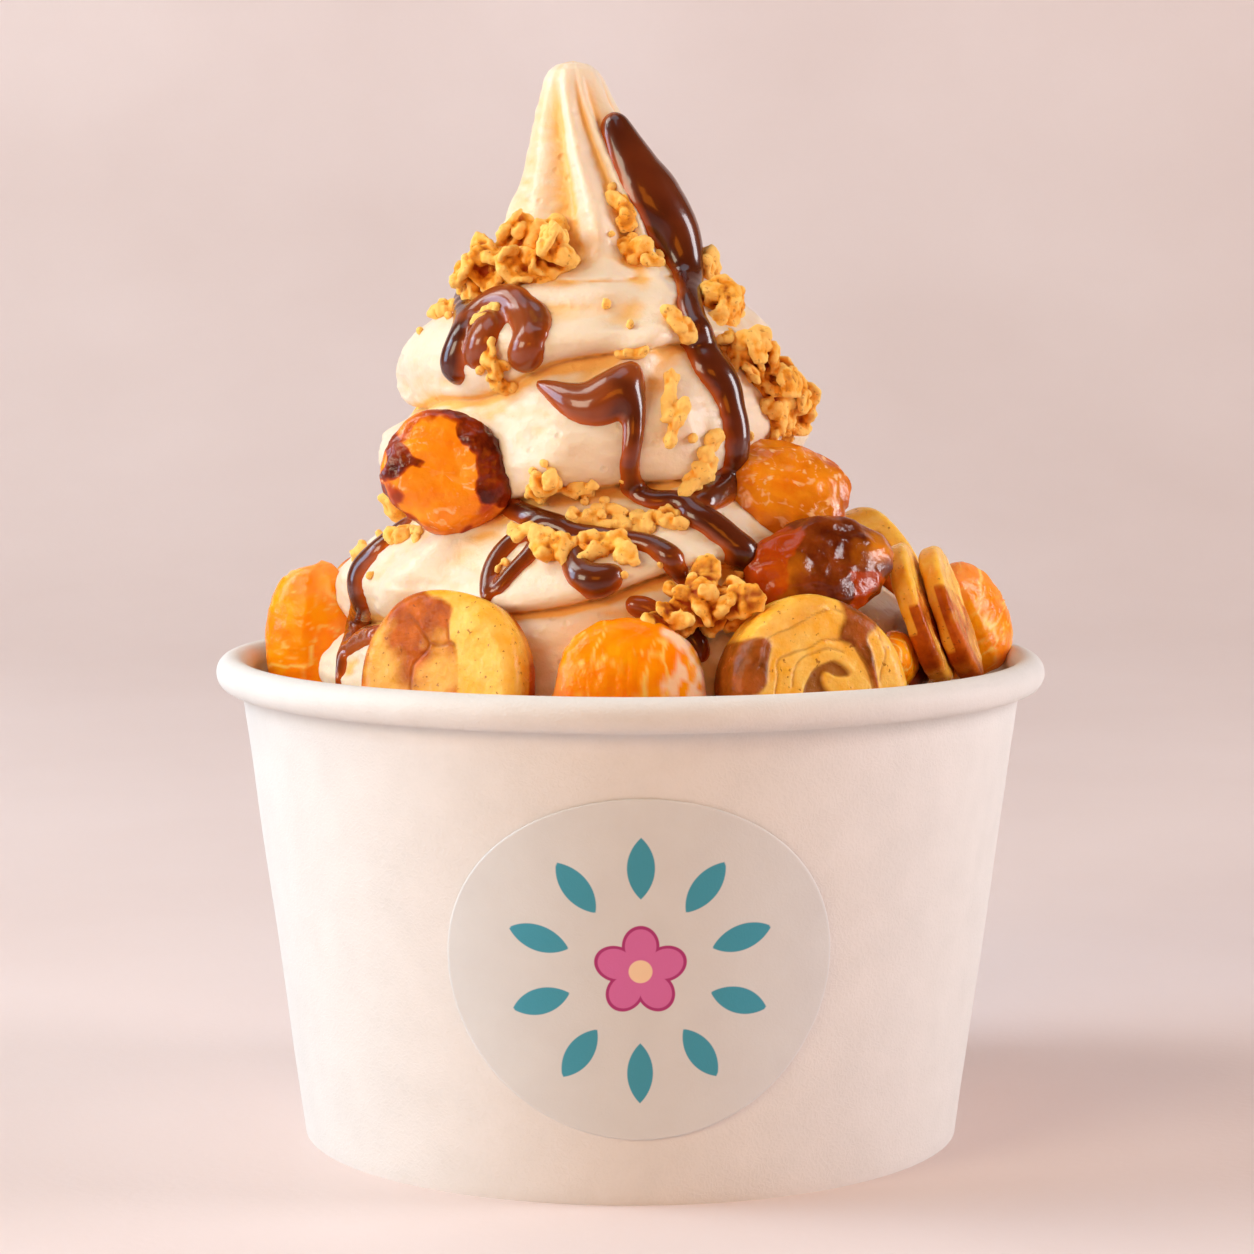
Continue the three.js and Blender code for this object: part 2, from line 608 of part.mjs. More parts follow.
const flakeRandom = randomFrom(21);
const yogurtParts = [solidOf(yogurtGeometry())];
SAUCE_STROKES.forEach((stroke) => yogurtParts.push(strokeSolid(stroke)));
LOOSE_FLAKES.forEach((flake) => yogurtParts.push(looseFlake(flake, flakeRandom)));
let yogurt = union(yogurtParts);
for (const [name, topping] of Object.entries(TOPPINGS)) {
  addPiece(name, geometryOf(toppingSolid(topping, 0)), topping[0]);
  yogurt = yogurt.subtract(toppingSolid(topping, GAP));
}
addPiece("yogurt", geometryOf(largestBody(yogurt)), "yogurt");

export default group;
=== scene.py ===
# %% [markdown]
# # A frozen yogurt cup
# A paper cup with a rolled rim holds a tall swirl of soft-serve yogurt. Chocolate sauce runs
# down it, granola sticks to it, and mandarin segments, banana slices and glazed fruit coins
# stand round it. Every piece is real mesh in metres, in the frame of the model that is loaded
# first, and every finish is made of shader nodes.

import math

import bpy
import numpy as np
import openvdb as vdb
from mathutils import Matrix, Vector


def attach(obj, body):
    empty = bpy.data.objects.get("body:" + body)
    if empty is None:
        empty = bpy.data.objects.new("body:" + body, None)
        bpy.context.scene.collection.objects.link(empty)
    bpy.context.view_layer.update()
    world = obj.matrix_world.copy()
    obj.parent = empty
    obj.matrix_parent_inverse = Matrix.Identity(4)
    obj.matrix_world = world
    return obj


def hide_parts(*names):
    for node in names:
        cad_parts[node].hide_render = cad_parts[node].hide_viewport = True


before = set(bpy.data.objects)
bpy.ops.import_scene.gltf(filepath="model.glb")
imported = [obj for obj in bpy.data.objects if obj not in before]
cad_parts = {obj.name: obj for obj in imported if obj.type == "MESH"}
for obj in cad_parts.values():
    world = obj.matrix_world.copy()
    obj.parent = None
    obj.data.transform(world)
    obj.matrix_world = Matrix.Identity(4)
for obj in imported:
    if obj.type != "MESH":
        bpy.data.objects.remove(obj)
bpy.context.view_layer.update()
MM = 0.001
scene = bpy.context.scene
scene.view_settings.view_transform = "Standard"
print("nodes in the frame:", len(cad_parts))

# %% [markdown]
# ## Camera
# The cup is seen from the front and a little from above, through a long lens: the camera
# stands half a metre away, 120 mm over the table, and looks down by five and a half degrees.
# A long lens keeps the rim's ellipse flat, as it is on a table at arm's length.

# %% Camera
CAMERA_PLACE = Vector((-0.49, -497.3, 120.43)) * MM
CAMERA_PITCH = 0.098
camera_data = bpy.data.cameras.new("camera")
camera_data.sensor_width = 36
camera_data.lens = 102.81
camera_data.clip_start = 0.01
camera_data.clip_end = 20
camera = bpy.data.objects.new("camera", camera_data)
scene.collection.objects.link(camera)
camera.location = CAMERA_PLACE
camera.rotation_euler = (math.pi / 2 - CAMERA_PITCH, 0, 0)
scene.camera = camera
print("lens", camera_data.lens, "mm")

# %% [markdown]
# ## Helpers for numbers
# Soft shapes are built from a few smooth functions: an eased step, a table that is read
# between its rows, and a noise that is a fixed function of place, so that each run gives the
# same lumps. They take whole arrays at once, because a swirl has a hundred thousand points.

# %% Smooth numbers
def ease(low, high, value):
    share = np.clip((np.asarray(value, float) - low) / (high - low), 0, 1)
    return share * share * (3 - 2 * share)


def table(rows, at):
    rows = np.array(rows, float)
    return np.interp(at, rows[:, 0], rows[:, 1])


def lattice(corner, seed):
    x, y, z = (corner[..., i].astype(np.int64) for i in range(3))
    mixed = (x * 73856093) ^ (y * 19349663) ^ (z * 83492791) ^ (seed * 2654435761)
    mixed = (mixed ^ (mixed >> 13)) * 1274126177
    return ((mixed ^ (mixed >> 16)) & 0xFFFF) / 32767.5 - 1


def noise(points, size, seed=0):
    """Smooth noise from -1 to 1 at places in mm, with lumps of about that size."""
    place = np.asarray(points, float) / size
    base = np.floor(place)
    part = place - base
    part = part * part * (3 - 2 * part)
    total = 0
    for corner in np.ndindex(2, 2, 2):
        weight = 1
        for axis in range(3):
            side = part[..., axis]
            weight = weight * (side if corner[axis] else 1 - side)
        total = total + weight * lattice(base + np.array(corner), seed)
    return total


def rough(points, size, seed=0, layers=3):
    """Layers of noise, each half the size and half the height of the one before."""
    total = 0
    for layer in range(layers):
        total = total + noise(points, size / 2**layer, seed + layer) / 2**layer
    return total


print("noise at the origin:", round(float(noise([0.3, 0.2, 0.1], 1.0)), 3))

# %% [markdown]
# ## Helpers for meshes
# A piece starts as rows of points, or as a field of distances that openvdb turns into a skin.
# The first suits what is turned or draped; the second suits what flows together or clumps,
# because blobs that touch in a distance field melt into one closed skin.

# %% Mesh makers
def new_piece(name, points, faces):
    """A mesh object from points in mm."""
    mesh = bpy.data.meshes.new(name)
    mesh.from_pydata((np.asarray(points) * MM).tolist(), [], [list(f) for f in faces])
    mesh.validate()
    mesh.update()
    mesh.polygons.foreach_set("use_smooth", [True] * len(mesh.polygons))
    piece = bpy.data.objects.new(name, mesh)
    scene.collection.objects.link(piece)
    return piece


def paint(piece, name, values):
    """Keeps one number per point on the mesh, for its material to read."""
    layer = piece.data.attributes.new(name, "FLOAT", "POINT")
    layer.data.foreach_set("value", np.asarray(values, np.float32))


def tube_faces(rows, columns, caps=True):
    """Quads between rings of points, with a fan to a point at each end."""
    ring = np.arange(columns)
    after = (ring + 1) % columns
    faces = []
    for row in range(rows - 1):
        a, b = row * columns, (row + 1) * columns
        faces += np.stack([a + ring, a + after, b + after, b + ring], 1).tolist()
    if caps:
        first, last = rows * columns, rows * columns + 1
        end = (rows - 1) * columns
        faces += [[first, int(after[i]), i] for i in range(columns)]
        faces += [[last, end + i, end + int(after[i])] for i in range(columns)]
    return faces


def turned(profile, sides):
    """Points of a profile of (radius, height) turned about the middle."""
    angle = np.linspace(0, 2 * np.pi, sides, endpoint=False)
    profile = np.array(profile, float)
    radius = profile[:, 0, None]
    height = np.repeat(profile[:, 1, None], sides, 1)
    return np.stack([radius * np.sin(angle), -radius * np.cos(angle), height], -1)


def smoothed(values, pairs, rounds):
    """Values of the points, each pulled to the mean of its neighbours a few times."""
    for _ in range(rounds):
        columns = []
        for part in values.T:
            total = np.bincount(pairs[:, 0], part[pairs[:, 1]], len(part))
            total += np.bincount(pairs[:, 1], part[pairs[:, 0]], len(part))
            columns.append(total)
        count = np.bincount(pairs.ravel(), minlength=len(values))
        values = np.stack(columns, 1) / np.maximum(count, 1)[:, None]
    return values


def edges_of(quads):
    return np.vstack([quads[:, [i, (i + 1) % quads.shape[1]]] for i in range(quads.shape[1])])


def facing(points, quads):
    """The outward direction at each point."""
    a, b, c = (points[quads[:, i]] for i in range(3))
    flat = np.cross(b - a, c - a)
    normal = np.zeros_like(points)
    for axis in range(3):
        for corner in range(quads.shape[1]):
            normal[:, axis] += np.bincount(quads[:, corner], flat[:, axis], len(points))
    return normal / (np.linalg.norm(normal, axis=1, keepdims=True) + 1e-12)


def hollow_of(points, quads, rounds):
    """How deep each point lies under its smoothed surroundings, in mm."""
    around = smoothed(points, edges_of(quads), rounds)
    return np.einsum("ij,ij->i", around - points, facing(around, quads))


def finish_piece(piece, slot, *nodes):
    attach(piece, "root")
    if nodes:
        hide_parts(*nodes)
    print(piece.name, len(piece.data.vertices), "points,", len(piece.data.polygons), "faces")
    return piece


print("mesh makers are ready")

# %% [markdown]
# ## Helpers for materials
# Each finish is a Principled shader fed by a few nodes. A short helper adds a node, sets its
# values and wires its inputs, so that a material reads as a list of what it is made of.

# %% Material makers
def new_material(name):
    material = bpy.data.materials.new(name)
    material.use_nodes = True
    tree = material.node_tree
    tree.nodes.clear()
    output = tree.nodes.new("ShaderNodeOutputMaterial")
    shader = tree.nodes.new("ShaderNodeBsdfPrincipled")
    tree.links.new(shader.outputs[0], output.inputs["Surface"])
    return material, tree, shader


def feed(tree, node, inputs):
    """Fills a node's inputs: values are set, and outputs of other nodes are wired."""
    for key, value in inputs.items():
        if isinstance(value, bpy.types.NodeSocket):
            tree.links.new(value, node.inputs[key])
        else:
            node.inputs[key].default_value = value
    return node


def add(tree, kind, inputs=None, **settings):
    """A new node of that kind, with its settings and inputs."""
    node = tree.nodes.new(kind)
    for key, value in settings.items():
        setattr(node, key, value)
    return feed(tree, node, inputs or {})


def mixed(tree, share, low, high):
    """A colour between two, by a share from 0 to 1."""
    node = add(tree, "ShaderNodeMix", {0: share}, data_type="RGBA")
    for socket, colour in ((6, low), (7, high)):
        plain = isinstance(colour, tuple)
        feed(tree, node, {socket: (*colour, 1) if plain else colour})
    return node.outputs[2]


def place_of(tree):
    return add(tree, "ShaderNodeTexCoord").outputs["Object"]


def grain(tree, scale, detail=3, roughness=0.5, vector=None):
    """Noise with that many lumps per metre."""
    inputs = {"Vector": vector or place_of(tree), "Scale": scale, "Detail": detail}
    inputs["Roughness"] = roughness
    return add(tree, "ShaderNodeTexNoise", inputs).outputs["Fac"]


def between(tree, value, low, high, to_low=0.0, to_high=1.0):
    """Maps a value's range to another, and clamps it."""
    inputs = {"Value": value, "From Min": low, "From Max": high}
    inputs.update({"To Min": to_low, "To Max": to_high})
    return add(tree, "ShaderNodeMapRange", inputs).outputs[0]


def sum_of(tree, kind, a, b):
    return add(tree, "ShaderNodeMath", {0: a, 1: b}, operation=kind).outputs[0]


def bumped(tree, shader, height, distance, strength=1.0, under=None):
    inputs = {"Height": height, "Distance": distance, "Strength": strength}
    if under is not None:
        inputs["Normal"] = under
    node = add(tree, "ShaderNodeBump", inputs)
    tree.links.new(node.outputs[0], shader.inputs["Normal"])
    return node.outputs[0]


def painted(tree, name):
    return add(tree, "ShaderNodeAttribute", attribute_name=name).outputs["Fac"]


def dress(pieces, material):
    """Puts one finish on several pieces."""
    for piece in pieces:
        piece.data.materials.append(material)
    print(material.name, "on", len(pieces), "pieces")


print("material makers are ready")

# %% [markdown]
# ## Table and backdrop
# The cup stands on a pale pinkish table that curves up into a backdrop, as a sheet of board
# does in a small studio. A grid of a few rows is enough, because a subdivision surface rounds
# the bend; the finish is matt, with a faint mottle, so that it never draws the eye.

# %% Table and backdrop
def backdrop():
    depth = [-900, 420, 600, 760, 860, 900, 910]
    rise = [0, 0, 20, 90, 220, 420, 1800]
    across = np.linspace(-950, 950, 7)
    rows = [[(x, y, z) for x in across] for y, z in zip(depth, rise)]
    points = np.array(rows, float).reshape(-1, 3)
    wide = len(across)
    faces = []
    for row in range(len(depth) - 1):
        for column in range(wide - 1):
            a = row * wide + column
            faces.append((a, a + 1, a + wide + 1, a + wide))
    piece = new_piece("table_and_backdrop", points, faces)
    modifier = piece.modifiers.new("round", "SUBSURF")
    modifier.levels = modifier.render_levels = 3
    return piece


floor = backdrop()
material, tree, shader = new_material("pale_plaster")
tint = between(tree, grain(tree, 9, 4), 0.3, 0.7)
colour = mixed(tree, tint, (0.725, 0.60, 0.57), (0.775, 0.655, 0.63))
feed(tree, shader, {"Base Color": colour, "Roughness": 0.5})
bumped(tree, shader, grain(tree, 700, 3), 0.0002, 0.25)
dress([floor], material)
print("floor is", len(floor.data.polygons), "faces before rounding")

# %% [markdown]
# ## Lights
# Soft lights stand at the left, at the right and overhead, and a warm one is far in front, so
# the cup is brightest at its two sides and darker in its middle. They are area lights, whose
# size softens the shadows. The world glows a little: warm over the horizon, where it fills
# the shadows, and pink under it, where it shows past the table.

# %% Lights
def soft_light(name, place, target, size, power, colour):
    data = bpy.data.lights.new(name, "AREA")
    data.shape = "RECTANGLE"
    data.size, data.size_y = size
    data.energy = power
    data.color = colour
    light = bpy.data.objects.new(name, data)
    scene.collection.objects.link(light)
    light.location = place
    aim = Vector(target) - Vector(place)
    light.rotation_euler = aim.to_track_quat("-Z", "Y").to_euler()
    return light


# place, target, size in metres, and watts of red, green and blue light
LIGHTS = {
    "light_left_front": ((-0.6, -0.62, 0.4), (0, 0, 0.08), (0.36, 0.36), (3.7, 3.3, 2.5)),
    "light_left_side": ((-0.85, -0.1, 0.35), (0, 0, 0.08), (0.36, 0.5), (2.1, 3.2, 4.4)),
    "light_right_side": ((1.05, -0.06, 0.38), (0, 0, 0.08), (0.37, 0.6), (9.2, 9.1, 9.4)),
    "light_top_left": ((-0.55, 0.0, 0.8), (0, 0, 0.1), (0.36, 0.36), (2.35, 2.45, 2.3)),
    "light_top": ((-0.05, -0.05, 0.95), (0, 0, 0.1), (0.5, 0.5), (0.75, 1.1, 1.35)),
    "light_front": ((0, -1.0, 0.5), (0, 0, 0.08), (0.4, 0.3), (1.8, 0.45, 0.02)),
    "light_backdrop": ((-0.8, 0.1, 0.6), (-0.1, 0.8, 0.3), (0.4, 0.4), (2.8, 2.9, 3.0)),
}
WORLD_GLOW = (0.15, 0.095, 0.04)
# what shows past the edge of the table, under the horizon
ROOM_GLOW = (0.50, 0.41, 0.385)
for name, (place, target, size, watts) in LIGHTS.items():
    power = max(watts)
    soft_light(name, place, target, size, power, [part / power for part in watts])
world = bpy.data.worlds.new("studio")
scene.world = world
world.use_nodes = True
sky = world.node_tree
toward = add(sky, "ShaderNodeTexCoord").outputs["Generated"]
height = add(sky, "ShaderNodeSeparateXYZ", {"Vector": toward}).outputs["Z"]
glow = mixed(sky, between(sky, height, -0.02, 0.05), ROOM_GLOW, WORLD_GLOW)
sky.links.new(glow, sky.nodes["Background"].inputs[0])
sky.nodes["Background"].inputs[1].default_value = 1
print(len(LIGHTS), "soft lights")

# %% [markdown]
# ## Paper cup
# A paper cup is one strip of coated board, wrapped into a cone and glued where its ends
# overlap. Its top edge is rolled outwards into a bead, and its foot is folded in round a flat
# disc. It is turned from one closed profile with many sides, and the glued overlap is a low
# step down the back, because a cone without it looks like moulded plastic.

# %% Cup wall and base
CUP_HEIGHT = 68.2
RIM_RADIUS = 57.5
ROLL_HALF_WIDTH, ROLL_HALF_HEIGHT = 2.2, 2.32
WALL_TOP_RADIUS, WALL_FOOT_RADIUS = 54.0, 45.5
PAPER = 0.6
DISC_RADIUS, DISC_HEIGHT = 45.3, 5.3
SEAM_AZIMUTH = 158
CUP_SIDES = 256


def wall_radius(height):
    share = np.asarray(height, float) / (CUP_HEIGHT - 2 * ROLL_HALF_HEIGHT)
    return WALL_FOOT_RADIUS + (WALL_TOP_RADIUS - WALL_FOOT_RADIUS) * share


def cup_profile():
    roll_radius = RIM_RADIUS - ROLL_HALF_WIDTH
    roll_height = CUP_HEIGHT - ROLL_HALF_HEIGHT
    outside = [(WALL_FOOT_RADIUS - 0.35, 0.0), (WALL_FOOT_RADIUS - 0.1, 0.15)]
    outside += [(float(wall_radius(z)), z) for z in np.linspace(0.5, roll_height - 2.4, 24)]
    roll = []
    for angle in np.radians(np.linspace(-74, 196, 26)):
        square = 1 + 0.05 * math.sin(2 * angle) ** 2
        roll.append((
            roll_radius + ROLL_HALF_WIDTH * math.cos(angle) * min(square, 1.0),
            roll_height + ROLL_HALF_HEIGHT * math.sin(angle),
        ))
    inside = [(float(wall_radius(z)) - PAPER, z) for z in np.linspace(roll_height - 3, 5, 16)]
    fold = [(WALL_FOOT_RADIUS - 1.6, 5.0), (WALL_FOOT_RADIUS - 1.6, 0.2)]
    return outside + roll + inside + fold + [(WALL_FOOT_RADIUS - 1.4, 0.0)]


def cup_wall():
    profile = cup_profile()
    points = turned(profile, CUP_SIDES)
    angle = np.degrees(np.linspace(0, 2 * np.pi, CUP_SIDES, endpoint=False))
    height = points[..., 2]
    radius = np.hypot(points[..., 0], points[..., 1])
    outer = radius > wall_radius(height) - 0.3
    on_roll = ease(CUP_HEIGHT - 5, CUP_HEIGHT - 3.5, height)
    behind = angle - SEAM_AZIMUTH
    lap = 0.28 * ease(-0.4, 0.4, behind) * (1 - ease(6, 13, behind)) * outer * (1 - on_roll)
    dents = 0.10 * noise(points, 14, 5) + 0.05 * noise(points, 6, 6)
    over_roll = height - CUP_HEIGHT + 2.3
    ripple = 0.10 * noise(points * [1, 1, 0.4], 3.2, 8) * ease(-2.6, -1.2, over_roll)
    ripple = ripple * (1 - ease(-0.6, 0.6, over_roll))
    move = lap + dents * outer * ease(0, 8, height) * (1 - 0.6 * on_roll) + ripple * on_roll
    scale = (radius + move) / radius
    points[..., 0] *= scale
    points[..., 1] *= scale
    points[..., 2] += 0.08 * noise(points * [1, 1, 0], 18, 7) * on_roll
    points[..., 2] = np.minimum(points[..., 2], CUP_HEIGHT)
    rows = len(profile)
    faces = tube_faces(rows, CUP_SIDES, caps=False)
    ring = np.arange(CUP_SIDES)
    after = (ring + 1) % CUP_SIDES
    last = (rows - 1) * CUP_SIDES
    faces += np.stack([last + ring, last + after, after, ring], 1).tolist()
    return new_piece("paper_cup", points.reshape(-1, 3), faces)


def cup_base():
    low, high = DISC_HEIGHT, DISC_HEIGHT + PAPER
    half = [(0.01, low), (DISC_RADIUS - 0.4, low), (DISC_RADIUS, low + 0.1)]
    profile = half + [(radius, low + high - z) for radius, z in reversed(half)]
    points = turned(profile, 128)
    ends = [[0, 0, low], [0, 0, high]]
    faces = tube_faces(len(profile), 128)
    return new_piece("cup_disc", np.vstack([points.reshape(-1, 3), ends]), faces)


paper_cup = finish_piece(cup_wall(), "paper", "cup_wall")
cup_disc = finish_piece(cup_base(), "paper", "cup_base")

# %% [markdown]
# ## Fibre grain
# Uncoated board shows short fibres pressed flat: fine, a little longer one way, and never
# quite one colour. The cup and its sticker both show them, so the grain is a node group that
# puts out a height and a mottle.

# %% Fibre group
def fibre_group():
    group = bpy.data.node_groups.new("paper_fibres", "ShaderNodeTree")
    face = group.interface
    face.new_socket("Size", in_out="INPUT", socket_type="NodeSocketFloat")
    face.new_socket("Height", in_out="OUTPUT", socket_type="NodeSocketFloat")
    face.new_socket("Mottle", in_out="OUTPUT", socket_type="NodeSocketFloat")
    enter = group.nodes.new("NodeGroupInput")
    leave = group.nodes.new("NodeGroupOutput")
    place = place_of(group)
    warp = add(group, "ShaderNodeTexNoise", {"Vector": place, "Scale": 500, "Detail": 2})
    pushed = add(group, "ShaderNodeVectorMath", {0: warp.outputs["Color"]}, operation="SCALE")
    pushed.inputs["Scale"].default_value = 0.0016
    moved = add(group, "ShaderNodeVectorMath", {0: place, 1: pushed.outputs[0]}, operation="ADD")
    fine = add(group, "ShaderNodeTexNoise", {"Vector": moved.outputs[0], "Detail": 4})
    group.links.new(enter.outputs["Size"], fine.inputs["Scale"])
    cells = add(group, "ShaderNodeTexVoronoi", {"Vector": moved.outputs[0]})
    cells.feature = "DISTANCE_TO_EDGE"
    group.links.new(enter.outputs["Size"], cells.inputs["Scale"])
    strands = between(group, cells.outputs["Distance"], 0.0, 0.22, 1.0, 0.0)
    height = sum_of(group, "MULTIPLY_ADD", strands, 0.35)
    height.node.inputs[2].default_value = 0
    group.links.new(fine.outputs["Fac"], height.node.inputs[2])
    group.links.new(height, leave.inputs["Height"])
    broad = grain(group, 160, 3, vector=place)
    group.links.new(broad, leave.inputs["Mottle"])
    return group


FIBRES = fibre_group()


def fibres(tree, size):
    node = tree.nodes.new("ShaderNodeGroup")
    node.node_tree = FIBRES
    node.inputs["Size"].default_value = size
    return node.outputs["Height"], node.outputs["Mottle"]


print("group", FIBRES.name)

# %% [markdown]
# ## Paper finish
# Coated board is off-white, a little glossy and a little rough. A photo of paper would tile
# and show seams, so the fibres come from the group: their height lifts the surface and dulls
# the gloss, and their mottle shifts the white by a few hundredths.

# %% Paper
def paper_material():
    material, tree, shader = new_material("coated_board")
    height, mottle = fibres(tree, 1500)
    colour = mixed(tree, between(tree, mottle, 0.3, 0.7), (0.70, 0.675, 0.65), (0.75, 0.72, 0.695))
    colour = mixed(tree, between(tree, height, 0.35, 0.85, 0, 0.25), colour, (0.78, 0.75, 0.72))
    roughness = between(tree, height, 0.2, 0.9, 0.52, 0.66)
    feed(tree, shader, {"Base Color": colour, "Roughness": roughness, "Specular IOR Level": 0.4})
    bumped(tree, shader, height, 0.00012, 0.35)
    return material


dress([paper_cup, cup_disc], paper_material())

# %% [markdown]
# ## Sticker
# A thin, cloudy oval sticker follows the cone. Its print is a plain flower in the middle of
# a ring of leaves. The print could be an image; here each shape is a distance that is kept on
# the points of a fine mesh, and the material turns the distance into ink with a sharp edge.

# %% Sticker mesh
LABEL_AZIMUTH, LABEL_HEIGHT = 1.4, 32.6
LABEL_HALF_WIDTH, LABEL_HALF_HEIGHT = 25.5, 22.5
LABEL_RINGS, LABEL_SIDES = 110, 256
PETAL_REACH, PETAL_RADIUS, HEART_RADIUS = 3.3, 2.7, 1.5
LEAVES, LEAF_REACH = 10, 13.5
# a leaf is the overlap of two discs, whose middles lie this far to its two sides
LEAF_DISC_RADIUS, LEAF_DISC_AWAY = 5.6, 3.9


def folded(x, y, count):
    """The same place in the first of that many equal slices round the middle."""
    slice_angle = 2 * np.pi / count
    turn = np.mod(np.arctan2(x, y) + slice_angle / 2, slice_angle) - slice_angle / 2
    reach = np.hypot(x, y)
    return reach * np.sin(turn), reach * np.cos(turn)


def flower_distance(x, y):
    """Distance in mm to the edge of five round petals, less than 0 inside."""
    across, out = folded(x, y, 5)
    petals = np.hypot(across / 0.86, out - PETAL_REACH) - PETAL_RADIUS
    return np.minimum(petals, np.hypot(x, y) - PETAL_REACH)


def leaf_distance(x, y):
    """Distance in mm to the edge of a ring of leaves, less than 0 inside."""
    across, out = folded(x, y, LEAVES)
    return np.hypot(np.abs(across) + LEAF_DISC_AWAY, out - LEAF_REACH) - LEAF_DISC_RADIUS


def sticker():
    share = np.concatenate([np.linspace(0.01, 0.985, LABEL_RINGS - 4), [0.992, 0.997, 1.0, 1.0]])
    lift = np.concatenate([np.full(LABEL_RINGS - 4, 0.24), [0.235, 0.2, 0.12, 0.03]])
    angle = np.linspace(0, 2 * np.pi, LABEL_SIDES, endpoint=False)
    x = share[:, None] * LABEL_HALF_WIDTH * np.sin(angle)
    y = share[:, None] * LABEL_HALF_HEIGHT * np.cos(angle)
    rows = [(x, y, lift[:, None])]
    rows.append((x[-1:] * 0.02, y[-1:] * 0.02, np.array([[0.03]])))
    points = []
    for x, y, raised in rows:
        height = LABEL_HEIGHT + y
        azimuth = math.radians(LABEL_AZIMUTH) + x / wall_radius(LABEL_HEIGHT)
        radius = wall_radius(height) + 0.12 + raised
        raised_x, raised_y = radius * np.sin(azimuth), -radius * np.cos(azimuth)
        points.append(np.stack([raised_x, raised_y, height + 0 * azimuth], -1).reshape(-1, 3))
    middle = math.radians(LABEL_AZIMUTH)
    ends = []
    for raised in (0.24, 0.03):
        radius = float(wall_radius(LABEL_HEIGHT)) + 0.12 + raised
        ends.append((radius * math.sin(middle), -radius * math.cos(middle), LABEL_HEIGHT))
    places = np.vstack(points + [ends])
    piece = new_piece("sticker", places, tube_faces(LABEL_RINGS + 1, LABEL_SIDES))
    across = np.arctan2(places[:, 0], -places[:, 1]) - middle
    x = across * float(wall_radius(LABEL_HEIGHT))
    y = places[:, 2] - LABEL_HEIGHT
    flower = flower_distance(x, y)
    paint(piece, "petal", flower)
    paint(piece, "outline", np.abs(flower + 0.2) - 0.22)
    paint(piece, "heart", np.hypot(x, y) - HEART_RADIUS)
    paint(piece, "leaves", leaf_distance(x, y))
    return piece


label = finish_piece(sticker(), "label", "label")

# %% [markdown]
# ## Sticker finish
# The film is cloudy, so it shows the board's fibres faintly and is greyer than the cup. Each
# ink is laid over the ones before it, as a printer does, and one narrow range of distance
# gives all of them the same crisp edge.

# %% Sticker finish
INK_EDGE = 0.07


def sticker_material():
    material, tree, shader = new_material("cloudy_sticker")
    height, mottle = fibres(tree, 1500)
    bare = mixed(tree, between(tree, mottle, 0.3, 0.7), (0.635, 0.635, 0.63), (0.665, 0.67, 0.665))

    def ink(name):
        return between(tree, painted(tree, name), -INK_EDGE, INK_EDGE, 1.0, 0.0)

    petal = mixed(tree, ink("petal"), bare, (0.62, 0.13, 0.36))
    heart = mixed(tree, ink("heart"), petal, (0.86, 0.62, 0.40))
    outline = mixed(tree, ink("outline"), heart, (0.38, 0.015, 0.15))
    colour = mixed(tree, ink("leaves"), outline, (0.035, 0.29, 0.40))
    roughness = between(tree, mottle, 0.2, 0.8, 0.4, 0.5)
    feed(tree, shader, {"Base Color": colour, "Roughness": roughness})
    bumped(tree, shader, height, 0.00008, 0.2)
    return material


dress([label], sticker_material())
print("sticker print:", [a.name for a in label.data.attributes if a.domain == "POINT"][-4:])

# %% [markdown]
# ## Yogurt swirl
# Soft serve leaves a star nozzle as a fluted rope, and is laid in coils that get smaller and
# end in a pulled-up tip. The swirl is one surface: for each direction and height it has a
# radius, made of an outline, a bulge in each turn of the coil, a few soft folds, and flutes
# at the top. Fine noise gives the skin of whipped cream. Drawing a rope along a spiral would
# give deeper grooves than real yogurt has, because soft coils sink into each other.

# %% Swirl numbers
# height and radius of the whole swirl
OUTLINE = [
    (58, 42), (66, 42), (72, 40.5), (79, 38.2), (86, 33.2), (98, 30.2), (107, 27.2),
    (113, 24.6), (119, 17.6), (125, 12.8), (130, 10.4), (135, 8.2), (140, 6.3), (144, 5.0),
    (147.1, 4.1), (148.4, 3.3), (149.2, 2.2), (149.7, 0),
]
# height of each crease at the front, and the turn of the coil that it ends
CREASES = [
    (46, -1), (62, 0), (77.5, 1), (92.5, 2), (108, 3), (119.5, 4), (131, 5), (150, 6.5),
]
COIL_PITCH = 15.5
# soft folds: azimuth and height of both ends, width, and rise
FOLDS = [
    (-30, 73.5, 16, 83, 4.2, 3.2), (24, 92, 40, 76, 4, 2.2), (8, 106, 26, 119, 3, 2.2),
    (-36, 88, -58, 74, 3, 1.8), (-8, 97, 22, 103, 4, 1.6),
    (56, 62, 88, 65, 6, 3.5), (150, 70, 190, 88, 5, 2), (-120, 92, -95, 104, 4, 1.5),
    (90, 96, 120, 108, 4, 2), (-175, 112, -150, 100, 4, 2), (118, 70, 146, 86, 5, 2.8),
    (-168, 72, -140, 64, 5.5, 3), (-112, 78, -80, 68, 5, 2.4), (205, 92, 236, 103, 4, 2.2),
    (128, 104, 158, 96, 4, 2), (168, 98, 196, 92, 4.5, 2.4), (100, 84, 122, 76, 4.5, 2.2),
]
FOLD_RADIUS = 36
